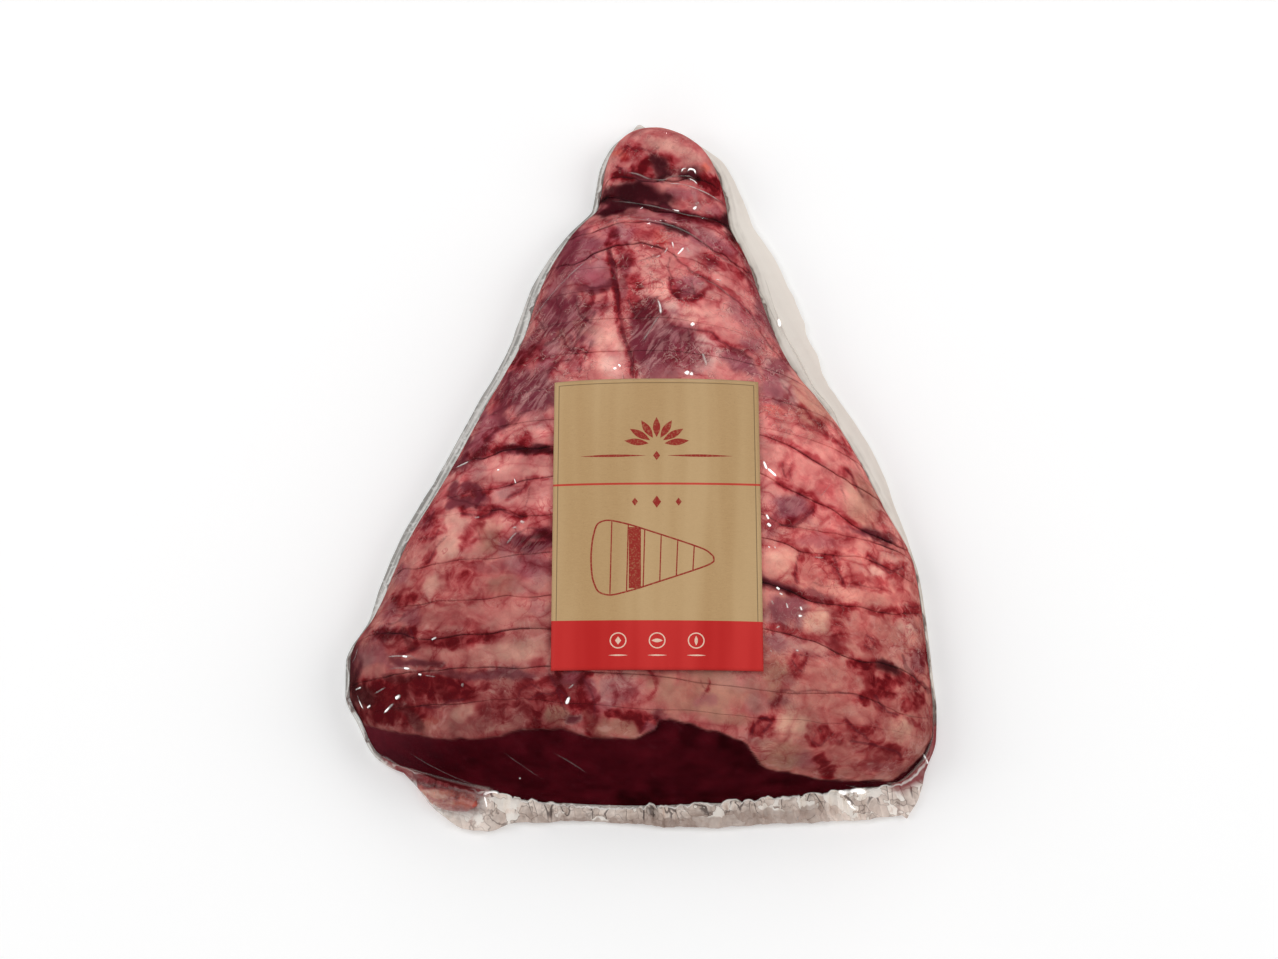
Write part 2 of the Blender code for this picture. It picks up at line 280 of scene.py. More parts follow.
# %% The creases by their pixels
CREASES = (
    # strength, then the points of the line
    (0.8, (617, 167), (625, 172), (640, 176), (660, 179), (672, 177), (690, 173), (694, 176)),
    (0.5, (700, 190), (712, 197), (722, 203), (730, 212)),
    (0.5, (725, 190), (730, 200), (728, 212)),
    (0.9, (608, 250), (613, 262), (614, 275), (617, 290), (619, 300), (621, 320), (624, 335), (628, 345), (632, 375)),
    (0.5, (578, 283), (590, 288), (600, 287), (612, 285)),
    (0.5, (672, 253), (678, 262), (690, 271), (705, 278), (720, 287), (733, 298), (745, 307), (755, 320), (763, 335),
     (772, 350), (782, 362)),
    (0.4, (700, 240), (712, 250), (722, 258), (733, 262), (743, 272), (752, 283), (760, 292), (770, 305), (780, 325),
     (790, 345)),
    (0.6, (670, 278), (673, 293), (682, 298), (692, 300), (700, 293)),
    (0.5, (670, 258), (668, 268), (673, 280)),
    (0.5, (692, 280), (695, 297)),
    (0.6, (672, 327), (690, 328), (705, 331), (712, 333), (720, 342), (733, 348), (745, 352), (752, 358)),
    (0.5, (640, 262), (652, 257), (662, 250)),
    (0.6, (630, 300), (636, 315), (646, 308), (657, 296)),
    (0.5, (642, 345), (650, 330), (658, 318)),
    (0.5, (640, 360), (655, 345), (668, 338)),
    (0.5, (680, 332), (682, 345), (680, 360)),
    (0.5, (688, 330), (690, 342), (688, 352)),
    (0.6, (560, 330), (566, 345), (572, 352), (578, 340), (582, 325)),
    (0.6, (576, 300), (580, 315), (590, 322), (596, 312)),
    (0.6, (545, 345), (555, 340), (562, 332)),
    (0.6, (578, 372), (586, 355), (592, 340)),
    (0.5, (548, 372), (556, 362), (570, 360)),
    (0.7, (485, 440), (500, 430), (512, 422), (520, 415), (530, 410)),
    (0.5, (490, 415), (505, 408), (516, 398)),
    (0.7, (500, 400), (508, 388), (510, 375)),
    (0.5, (448, 497), (470, 502), (485, 506)),
    (0.5, (476, 508), (482, 497), (486, 492), (484, 485)),
    (0.5, (508, 497), (518, 492), (525, 486), (526, 478)),
    (0.4, (524, 515), (528, 500), (530, 487)),
    (0.6, (462, 512), (480, 517), (497, 508), (512, 515), (522, 517)),
    (0.5, (424, 528), (428, 520), (434, 512)),
    (0.5, (420, 540), (435, 537), (438, 528)),
    (0.5, (428, 562), (434, 548), (446, 538)),
    (0.5, (506, 545), (513, 537), (520, 531), (535, 529), (548, 529)),
    (0.4, (470, 536), (480, 540), (478, 530)),
    (0.6, (375, 632), (395, 634), (408, 634), (414, 640), (410, 628)),
    (0.6, (392, 655), (405, 652), (420, 648)),
    (0.5, (404, 614), (398, 622), (388, 626)),
    (0.4, (520, 562), (526, 552), (535, 548)),
    (0.8, (420, 705), (432, 708), (440, 706), (450, 702), (462, 700)),
    (0.5, (516, 700), (520, 690), (530, 685), (540, 690)),
    (0.6, (530, 700), (545, 694), (560, 690), (568, 700)),
    (0.5, (548, 672), (556, 685), (560, 700), (566, 712)),
    (0.5, (582, 676), (590, 690), (596, 705), (592, 716)),
    (0.5, (640, 733), (648, 720), (658, 716)),
    (0.4, (700, 680), (706, 690), (700, 700)),
    (0.4, (612, 680), (606, 690), (600, 698)),
    (0.5, (775, 690), (790, 690), (800, 693), (815, 690), (835, 693), (850, 694), (862, 697)),
    (0.6, (875, 697), (880, 705), (888, 712), (897, 716)),
    (0.5, (845, 720), (852, 728), (862, 733), (868, 740)),
    (0.6, (852, 741), (870, 744), (890, 750), (903, 757)),
    (0.6, (750, 735), (756, 722), (766, 716), (772, 722), (766, 733)),
    (0.5, (815, 735), (812, 742), (822, 744), (829, 737)),
    (0.4, (782, 383), (795, 403), (808, 412), (816, 421), (825, 433), (835, 438), (848, 455)),
    (0.4, (798, 424), (812, 429), (825, 433)),
    (0.5, (783, 464), (786, 478)),
    (0.5, (791, 464), (790, 482)),
    (0.6, (843, 470), (852, 476), (856, 484), (864, 496)),
    (0.4, (842, 486), (845, 502)),
    (0.4, (866, 510), (866, 522)),
    (0.7, (812, 510), (803, 520), (795, 528), (780, 524)),
    (0.6, (834, 556), (836, 570), (840, 575), (843, 584)),
    (0.6, (800, 552), (797, 565), (794, 575), (797, 583)),
    (0.4, (813, 584), (825, 587), (838, 585), (862, 586), (885, 590)),
    (0.6, (870, 557), (880, 565), (890, 572), (903, 568)),
    (0.5, (905, 605), (915, 607), (922, 604)),
    (0.5, (762, 650), (775, 652), (800, 656), (820, 656), (838, 655)),
    (0.5, (866, 636), (874, 640), (872, 648), (864, 646)),
    (0.7, (903, 655), (907, 668), (915, 680), (925, 685), (930, 692)),
    (0.5, (792, 660), (796, 668), (803, 672), (806, 662)),
    (0.5, (620, 155), (628, 147), (640, 152)),
    (0.5, (640, 148), (652, 152), (660, 147)),
    (0.6, (728, 222), (738, 238), (748, 252), (755, 264)),
    (0.5, (556, 300), (562, 312), (556, 325)),
    (0.5, (536, 318), (545, 330), (538, 345)),
    (0.5, (590, 296), (594, 304), (602, 300)),
)
CREASE_REACH = 3.6  # pixels
LINE_REACH = 2.4
HALO_REACH = 9  # pixels over which blood has spread beside a crease


def near_line(u, v, points, reach):
    """How close pixels are to a line: 1 on it, down to 0 at this many pixels away."""
    nearest = np.full(len(u), float(reach))
    xs, ys = zip(*points)
    near = (
        (u > min(xs) - reach) & (u < max(xs) + reach)
        & (v > min(ys) - reach) & (v < max(ys) + reach)
    )
    a, b = u[near], v[near]
    best = nearest[near]
    for (x0, y0), (x1, y1) in zip(points, points[1:]):
        run_x, run_y = x1 - x0, y1 - y0
        t = np.clip(((a - x0) * run_x + (b - y0) * run_y) / (run_x**2 + run_y**2), 0, 1)
        best = np.minimum(best, np.hypot(a - x0 - t * run_x, b - y0 - t * run_y))
    nearest[near] = best
    return 1 - nearest / reach


def crease_look(points, reach=CREASE_REACH):
    """How strongly the creases show at points of the skin: 1 on a plain one, 0 this many pixels away."""
    u, v = pixel(points)
    u = u + 1.8 * cloud(points, 4, 20)
    v = v + 1.8 * cloud(points, 4, 30)
    look = np.zeros(len(u))
    for strength, *line in CREASES:
        look = np.maximum(look, strength * near_line(u, v, line, reach))
    return look


print(len(CREASES), "creases")

# %% [markdown]
# ## Fat, lean and blood, by name
# The palette is small: pinks and creams for fat, reds for blood under the film, and purples for lean that shows
# through. A pale grey pink stands both for the pale fibres of lean and for a painted sheen of the film, and near black
# for dark blood and, in a few hollows, painted shadow. Soft, wandering patches of these lie over each other, as they
# do in the real fat cap. They could be noise alone, but then no patch would be where the real one is, so each has its
# place, size, turn and strength.

# %% The palette
PALETTE = {
    "pink": (216, 138, 132),
    "mauve": (162, 88, 100),
    "dusk": (132, 66, 78),
    "maroon": (106, 34, 48),
    "dark": (60, 8, 18),
    # a pale grey pink: in the patches and strokes a painted sheen of the film, in the lean its pale fibres
    "sheen_and_fibre": (188, 134, 134),
    "beige": (187, 128, 114),
    "cream": (236, 174, 160),
    "pale": (238, 196, 186),
    "salmon": (226, 112, 92),
    "lean": (58, 8, 15),
    "blood": (104, 10, 24),
}
BLOOD_LAYER = {"rose": 0.5, "red": 1.5, "blood": 3.2}
BLOOD_TAKES = (0.45, 1.3, 1.1)


def linear(rgb):
    """A colour as the shaders take it, from its numbers on a screen."""
    share = np.asarray(rgb, float) / 255
    return np.where(share <= 0.04045, share / 12.92, ((share + 0.055) / 1.055) ** 2.4)


PAINT = {name: linear(rgb) for name, rgb in PALETTE.items()}
BLOOD_TAKES = np.array(BLOOD_TAKES)
print("pink for the shader", PAINT["pink"].round(3), "under blood", (PAINT["pink"] * np.exp(-BLOOD_TAKES * 1.5)).round(3))

# %% Patches of the tip and the shoulder
TIP_PATCHES = (
    # x, y, half width, half height, turn in degrees, colour, strength
    (668, 152, 44, 18, 0, "rose", 0.9),
    (664, 146, 18, 7, 0, "cream", 0.8),
    (640, 143, 10, 5, -20, "pink", 0.7),
    (607, 178, 6, 18, 8, "pink", 0.9),
    (690, 157, 14, 7, 25, "pink", 0.9),
    (631, 152, 11, 7, -15, "red", 0.85),
    (621, 155, 6, 5, 0, "salmon", 0.6),
    (706, 167, 6, 6, 0, "salmon", 0.7),
    (723, 195, 7, 18, -12, "rose", 0.9),
    (713, 183, 11, 9, 0, "blood", 0.9),
    (656, 165, 24, 9, 0, "blood", 0.95),
    (636, 172, 24, 8, 0, "blood", 0.9),
    (662, 165, 8, 7, 0, "dark", 0.8),
    (690, 172, 12, 6, 5, "dark", 0.85),
    (612, 190, 12, 10, 0, "blood", 0.8),
    # the hollow under the tip: dark blood, with painted shadow in it
    (638, 194, 34, 12, 3, "dark", 1.0),
    (696, 200, 28, 13, 18, "rose", 0.95),
    (682, 192, 16, 6, 10, "mauve", 0.6),
    (712, 213, 10, 7, 10, "mauve", 0.6),
    (610, 211, 24, 8, 4, "maroon", 0.9),
    # painted shadow in a small hollow at the left of the neck
    (607, 213, 16, 6, 0, "dark", 0.9),
    (660, 216, 36, 7, 5, "mauve", 0.8),
    (694, 216, 20, 5, 6, "red", 0.6),
    (742, 242, 9, 26, -28, "blood", 0.9),
    (732, 226, 8, 9, 0, "dark", 0.7),
    (755, 285, 7, 34, -22, "maroon", 0.5),
    (618, 236, 20, 9, -6, "mauve", 0.8),
    (614, 236, 5, 6, 0, "maroon", 0.6),
    (655, 234, 18, 8, 3, "rose", 0.9),
    # painted shade in a small hollow
    (670, 228, 8, 4, 0, "dark", 0.6),
    (690, 248, 18, 9, 20, "sheen_and_fibre", 0.6),
    (700, 238, 22, 8, 25, "mauve", 0.7),
    (722, 248, 16, 10, 40, "mauve", 0.7),
    (730, 268, 16, 9, 40, "rose", 0.6),
    (712, 262, 10, 5, 30, "dusk", 0.6),
    (576, 245, 24, 18, -55, "dusk", 0.9),
    (560, 268, 22, 14, -55, "maroon", 0.5),
    (555, 300, 16, 30, 25, "dusk", 0.8),
    (592, 272, 22, 15, 0, "mauve", 0.9),
    (600, 265, 8, 6, 0, "sheen_and_fibre", 0.5),
    (584, 250, 16, 8, -40, "mauve", 0.6),
)
UPPER_PATCHES = (
    (650, 272, 24, 26, 0, "pink", 0.9),
    (652, 262, 12, 8, 0, "cream", 0.5),
    (634, 282, 9, 8, 0, "red", 0.7),
    (624, 262, 8, 14, 0, "dusk", 0.7),
    (622, 290, 6, 18, 5, "maroon", 0.6),
    (660, 292, 16, 10, -20, "cream", 0.7),
    (690, 268, 14, 7, 35, "rose", 0.7),
    (696, 288, 18, 9, 15, "mauve", 0.8),
    (684, 294, 9, 4, 0, "maroon", 0.7),
    (724, 302, 24, 10, 32, "pink", 0.9),
    (748, 285, 16, 12, 50, "rose", 0.7),
    (744, 318, 20, 7, 45, "mauve", 0.5),
    (766, 320, 9, 22, -25, "dusk", 0.7),
    (690, 313, 30, 9, 8, "cream", 0.7),
    (672, 308, 12, 7, 0, "pale", 0.5),
    (716, 322, 22, 7, 20, "pink", 0.8),
    (608, 345, 19, 34, 2, "cream", 0.95),
    (606, 318, 12, 14, 0, "pink", 0.8),
    (600, 306, 10, 8, 0, "mauve", 0.6),
    (614, 362, 12, 14, 0, "pale", 0.5),
    (658, 345, 26, 36, 0, "dusk", 0.9),
    (648, 322, 14, 20, 20, "maroon", 0.75),
    (640, 342, 9, 22, 0, "maroon", 0.5),
    (662, 330, 8, 16, 0, "sheen_and_fibre", 0.45),
    (664, 365, 12, 10, -40, "sheen_and_fibre", 0.4),
    (688, 348, 14, 22, 5, "mauve", 0.8),
    (690, 340, 9, 10, 0, "maroon", 0.6),
    (709, 350, 9, 18, -12, "pale", 0.75),
    (700, 368, 12, 8, 0, "sheen_and_fibre", 0.6),
    (735, 360, 18, 9, 25, "dusk", 0.8),
    (732, 342, 12, 6, 25, "rose", 0.6),
    (752, 345, 14, 9, 35, "mauve", 0.7),
    (770, 366, 12, 12, 30, "sheen_and_fibre", 0.5),
    (570, 325, 24, 26, 10, "dusk", 0.85),
    (562, 306, 12, 12, 0, "maroon", 0.6),
    (588, 312, 6, 10, 10, "maroon", 0.6),
    (560, 345, 10, 12, 30, "sheen_and_fibre", 0.6),
    (578, 340, 8, 14, -10, "pink", 0.7),
    (583, 330, 4, 18, 10, "maroon", 0.7),
    (548, 362, 13, 12, -30, "mauve", 0.8),
    (574, 362, 9, 10, 0, "sheen_and_fibre", 0.6),
    (540, 335, 10, 16, 30, "maroon", 0.6),
    (524, 352, 9, 22, 28, "dusk", 0.7),
    (518, 368, 9, 10, 20, "red", 0.5),
)
LEFT_PATCHES = (
    (530, 392, 28, 22, -20, "dusk", 0.9),
    (512, 384, 10, 12, 20, "mauve", 0.7),
    (520, 402, 14, 5, -50, "sheen_and_fibre", 0.7),
    (545, 378, 12, 8, -40, "sheen_and_fibre", 0.4),
    (540, 402, 12, 8, 0, "maroon", 0.5),
    (498, 400, 9, 18, 30, "rose", 0.6),
    (489, 425, 12, 12, -30, "mauve", 0.8),
    (530, 428, 26, 12, -6, "pink", 0.95),
    (508, 435, 14, 6, -25, "pink", 0.8),
    (540, 420, 14, 7, 0, "sheen_and_fibre", 0.4),
    (525, 438, 8, 5, 0, "red", 0.75),
    (523, 450, 34, 5, 0, "maroon", 0.85),
    (547, 450, 7, 6, 0, "blood", 0.7),
    (478, 445, 11, 14, 25, "dusk", 0.8),
    (464, 462, 14, 8, -25, "maroon", 0.8),
    (462, 478, 12, 8, -50, "rose", 0.6),
    (510, 470, 42, 13, -5, "pink", 1.0),
    (500, 466, 20, 8, 0, "cream", 0.4),
    (536, 474, 16, 7, -10, "cream", 0.3),
    (476, 470, 12, 7, -25, "sheen_and_fibre", 0.4),
    (468, 493, 21, 9, 6, "blood", 0.85),
    (461, 493, 5, 4, 0, "sheen_and_fibre", 0.6),
    (482, 500, 12, 6, 15, "maroon", 0.8),
    (520, 500, 32, 12, -4, "pink", 0.9),
    (508, 493, 14, 7, -20, "sheen_and_fibre", 0.5),
    (545, 505, 10, 10, 0, "cream", 0.5),
    (478, 512, 16, 5, 12, "red", 0.7),
    (503, 512, 16, 5, 10, "red", 0.6),
    (440, 500, 8, 22, 25, "rose", 0.8),
    (456, 522, 18, 10, 10, "cream", 0.8),
    (448, 545, 13, 20, 5, "cream", 0.85),
    (467, 545, 9, 9, 0, "rose", 0.7),
    (462, 542, 4, 5, 0, "red", 0.5),
    (490, 538, 14, 18, 5, "beige", 0.9),
    (496, 525, 12, 7, 0, "cream", 0.4),
    (420, 535, 14, 24, 25, "rose", 0.8),
    (428, 522, 7, 12, 25, "mauve", 0.6),
    (412, 556, 12, 10, 25, "pink", 0.6),
    (504, 548, 5, 12, 10, "sheen_and_fibre", 0.6),
    (531, 543, 27, 14, 0, "maroon", 1.0),
    (534, 538, 20, 7, 0, "blood", 0.5),
    (530, 566, 22, 12, 0, "mauve", 0.8),
    (512, 560, 9, 9, 0, "sheen_and_fibre", 0.5),
    (540, 578, 12, 8, 0, "sheen_and_fibre", 0.5),
    (400, 575, 8, 14, 25, "mauve", 0.7),
)
LOWER_LEFT_PATCHES = (
    (480, 582, 38, 18, 0, "rose", 1.0),
    (458, 584, 16, 10, 0, "red", 0.5),
    (463, 571, 14, 9, 0, "red", 0.55),
    (488, 566, 16, 5, 0, "maroon", 0.35),
    (434, 585, 9, 15, 5, "cream", 0.75),
    (450, 592, 10, 8, 0, "pink", 0.5),
    (505, 586, 18, 10, 0, "beige", 0.6),
    (524, 588, 14, 8, 0, "sheen_and_fibre", 0.4),
    (418, 580, 8, 12, 20, "rose", 0.6),
    (402, 598, 15, 9, -15, "red", 0.6),
    (388, 610, 9, 9, -30, "mauve", 0.7),
    (455, 618, 36, 10, -2, "rose", 0.85),
    (428, 620, 10, 8, 0, "pink", 0.6),
    (470, 622, 14, 6, 0, "red", 0.3),
    (520, 614, 26, 10, -3, "pink", 0.7),
    (540, 610, 12, 8, 0, "sheen_and_fibre", 0.5),
    (412, 618, 12, 8, 0, "mauve", 0.7),
    (382, 634, 16, 9, 8, "dusk", 0.7),
    (402, 633, 12, 6, 0, "red", 0.7),
    (372, 654, 14, 15, 0, "mauve", 0.7),
    (368, 660, 8, 9, 0, "sheen_and_fibre", 0.5),
    (401, 648, 18, 7, 0, "red", 0.6),
    (447, 643, 26, 5, -2, "red", 0.9),
    (480, 640, 24, 4, -2, "red", 0.5),
    (500, 652, 50, 10, -2, "cream", 0.8),
    (470, 652, 16, 8, 0, "rose", 0.5),
    (536, 648, 16, 10, 0, "cream", 0.6),
    (430, 660, 26, 7, 0, "rose", 0.7),
    (400, 665, 26, 5, 0, "mauve", 0.6),
    (500, 674, 46, 5, 0, "dusk", 0.8),
    (455, 672, 24, 4, 0, "maroon", 0.6),
    (440, 687, 50, 13, 0, "blood", 1.0),
    (462, 690, 12, 6, 0, "red", 0.4),
    (384, 698, 32, 20, 20, "blood", 0.95),
    (362, 696, 12, 12, 20, "dark", 0.6),
    (352, 672, 9, 24, 12, "dark", 0.75),
    (358, 664, 6, 12, 10, "maroon", 0.6),
    (408, 714, 22, 11, 0, "blood", 0.95),
    (376, 716, 20, 9, 12, "blood", 0.8),
    (480, 716, 46, 17, 4, "rose", 0.9),
    (464, 712, 14, 10, -30, "cream", 0.8),
    (434, 724, 13, 8, 0, "salmon", 0.45),
    (450, 728, 24, 7, 5, "pink", 0.8),
    (498, 729, 18, 5, -8, "cream", 0.75),
    (494, 709, 16, 12, 0, "red", 0.75),
    (488, 698, 10, 6, 0, "rose", 0.5),
    (542, 703, 32, 20, 0, "red", 0.75),
    (520, 718, 9, 7, 0, "pink", 0.8),
    (526, 690, 10, 7, 0, "rose", 0.7),
    (546, 690, 8, 6, 0, "pink", 0.6),
    (556, 716, 15, 9, 0, "beige", 0.95),
    (540, 703, 6, 5, 0, "pink", 0.5),
    (584, 696, 14, 24, -8, "blood", 0.9),
    (573, 680, 22, 7, 0, "maroon", 0.7),
    (574, 719, 9, 5, 0, "maroon", 0.6),
    (594, 712, 7, 11, -12, "sheen_and_fibre", 0.6),
    (448, 796, 40, 14, 0, "salmon", 1.0),
    (432, 796, 20, 12, 0, "cream", 0.95),
    (430, 778, 30, 7, 10, "red", 0.9),
    (470, 792, 8, 7, 0, "salmon", 0.7),
    (459, 794, 3, 9, 10, "red", 0.7),
)
LOWER_PATCHES = (
    (622, 690, 26, 14, 0, "sheen_and_fibre", 0.85),
    (632, 694, 10, 8, 0, "red", 0.5),
    (616, 726, 26, 9, 6, "beige", 0.85),
    (604, 704, 10, 8, 0, "mauve", 0.6),
    (646, 722, 14, 6, -10, "red", 0.7),
    (660, 714, 9, 5, 0, "maroon", 0.6),
    (706, 692, 66, 22, 6, "beige", 1.0),
    (676, 700, 26, 12, 0, "beige", 0.7),
    (740, 684, 24, 10, 0, "sheen_and_fibre", 0.3),
    (732, 718, 24, 8, 18, "beige", 0.9),
    (757, 705, 12, 14, 20, "sheen_and_fibre", 0.5),
    (661, 720, 10, 4, 20, "maroon", 0.5),
    (762, 727, 12, 10, 0, "red", 0.7),
    (778, 700, 12, 9, -40, "maroon", 0.6),
    (793, 724, 18, 15, 8, "cream", 0.9),
    (783, 756, 24, 14, 5, "beige", 0.85),
    (768, 748, 9, 9, 0, "cream", 0.4),
    (806, 760, 14, 9, 0, "mauve", 0.6),
    (835, 706, 36, 13, 5, "rose", 0.7),
    (815, 702, 18, 8, 0, "pink", 0.6),
    (856, 716, 16, 10, 20, "pink", 0.7),
    (820, 733, 14, 8, 0, "red", 0.85),
    (818, 720, 10, 6, 0, "rose", 0.6),
    (846, 738, 16, 8, 10, "rose", 0.6),
    (876, 734, 18, 10, 0, "red", 0.55),
    (886, 747, 22, 5, 14, "blood", 0.7),
    (864, 762, 30, 11, 2, "red", 0.55),
    (842, 758, 12, 9, 0, "pink", 0.7),
    (882, 768, 18, 6, 0, "mauve", 0.4),
    (824, 768, 9, 11, -20, "red", 0.75),
    (900, 728, 12, 18, 25, "cream", 0.8),
    (914, 700, 11, 12, 0, "red", 0.85),
    (917, 702, 6, 7, 0, "red", 0.4),
    (888, 694, 16, 10, 20, "pink", 0.75),
    (878, 674, 26, 13, 12, "blood", 1.0),
    (890, 668, 12, 6, 12, "dark", 0.5),
    (878, 688, 15, 12, 40, "blood", 0.8),
    (880, 672, 6, 4, 0, "rose", 0.6),
    (919, 745, 9, 18, 15, "pink", 0.6),
    (924, 722, 6, 20, 0, "rose", 0.5),
    (774, 672, 16, 22, 0, "beige", 0.8),
    (797, 666, 9, 9, 0, "red", 0.5),
    (790, 682, 9, 7, 0, "sheen_and_fibre", 0.5),
    (828, 674, 30, 13, 4, "rose", 0.7),
    (822, 670, 12, 7, 0, "pink", 0.7),
    (850, 684, 14, 8, 0, "rose", 0.5),
)
RIGHT_PATCHES = (
    (772, 384, 12, 20, 10, "mauve", 0.8),
    (790, 388, 7, 20, -10, "sheen_and_fibre", 0.7),
    (778, 366, 12, 6, 20, "maroon", 0.5),
    (780, 398, 10, 8, 0, "dusk", 0.6),
    (816, 402, 24, 34, -28, "beige", 0.8),
    (806, 386, 10, 14, -28, "pink", 0.5),
    (824, 430, 14, 12, 0, "rose", 0.8),
    (782, 418, 18, 14, 20, "rose", 1.0),
    (772, 410, 8, 6, 0, "salmon", 0.3),
    (778, 455, 14, 18, 0, "pink", 0.95),
    (788, 462, 7, 12, 0, "red", 0.25),
    (806, 440, 14, 9, 20, "rose", 0.7),
    (820, 480, 24, 22, 0, "rose", 0.9),
    (810, 470, 10, 8, 0, "pink", 0.4),
    (846, 452, 12, 14, -30, "rose", 0.8),
    (862, 500, 18, 28, -22, "beige", 0.9),
    (850, 496, 8, 14, 0, "cream", 0.3),
    (876, 520, 9, 16, -20, "rose", 0.6),
    (789, 506, 22, 14, 10, "mauve", 1.0),
    (782, 504, 12, 8, 0, "dusk", 0.6),
    (792, 500, 6, 8, -30, "sheen_and_fibre", 0.5),
    (810, 508, 5, 7, 0, "rose", 0.8),
    (832, 518, 22, 13, 15, "rose", 1.0),
    (790, 534, 26, 9, 5, "pink", 0.8),
    (770, 528, 7, 9, 0, "sheen_and_fibre", 0.6),
    (820, 540, 22, 8, 4, "mauve", 0.5),
    (850, 545, 14, 6, 5, "rose", 0.7),
    (868, 532, 20, 5, 12, "maroon", 0.8),
    (782, 562, 18, 14, 3, "cream", 0.85),
    (820, 571, 18, 13, 0, "rose", 0.8),
    (814, 566, 9, 7, 0, "pink", 0.5),
    (836, 566, 5, 16, 0, "red", 0.6),
    (864, 572, 22, 11, 0, "pink", 0.7),
    (856, 578, 20, 6, 3, "red", 0.35),
    (882, 547, 20, 10, 18, "pink", 0.8),
    (892, 572, 15, 10, -25, "red", 0.55),
    (880, 583, 20, 6, 0, "red", 0.6),
    (872, 571, 9, 6, -30, "cream", 0.5),
    (912, 582, 9, 22, -5, "rose", 0.8),
    (780, 588, 22, 6, 15, "maroon", 0.8),
    (815, 597, 20, 5, 12, "maroon", 0.6),
    (866, 597, 34, 8, 4, "pink", 0.8),
    (905, 596, 14, 9, 0, "rose", 0.7),
    (786, 612, 24, 16, 3, "dusk", 0.9),
    (792, 606, 12, 8, 0, "mauve", 0.5),
    (817, 619, 12, 13, 0, "cream", 0.8),
    (840, 626, 9, 22, 4, "red", 0.7),
    (868, 622, 20, 12, -20, "pink", 0.8),
    (880, 632, 28, 20, 5, "rose", 0.7),
    (908, 632, 14, 14, 0, "pink", 0.7),
    (870, 642, 9, 7, 0, "red", 0.5),
    (884, 614, 16, 6, 5, "red", 0.6),
    (912, 610, 10, 6, 0, "red", 0.5),
    (800, 643, 36, 9, 5, "sheen_and_fibre", 0.7),
    (776, 640, 14, 7, 5, "mauve", 0.7),
    (814, 644, 14, 6, 10, "pink", 0.6),
    (918, 660, 10, 12, 0, "mauve", 0.7),
    (924, 656, 6, 10, -10, "blood", 0.8),
    (908, 680, 10, 9, 35, "rose", 0.7),
    (844, 655, 18, 5, 10, "red", 0.5),
)
PATCHES = TIP_PATCHES + UPPER_PATCHES + LEFT_PATCHES + LOWER_LEFT_PATCHES + LOWER_PATCHES + RIGHT_PATCHES
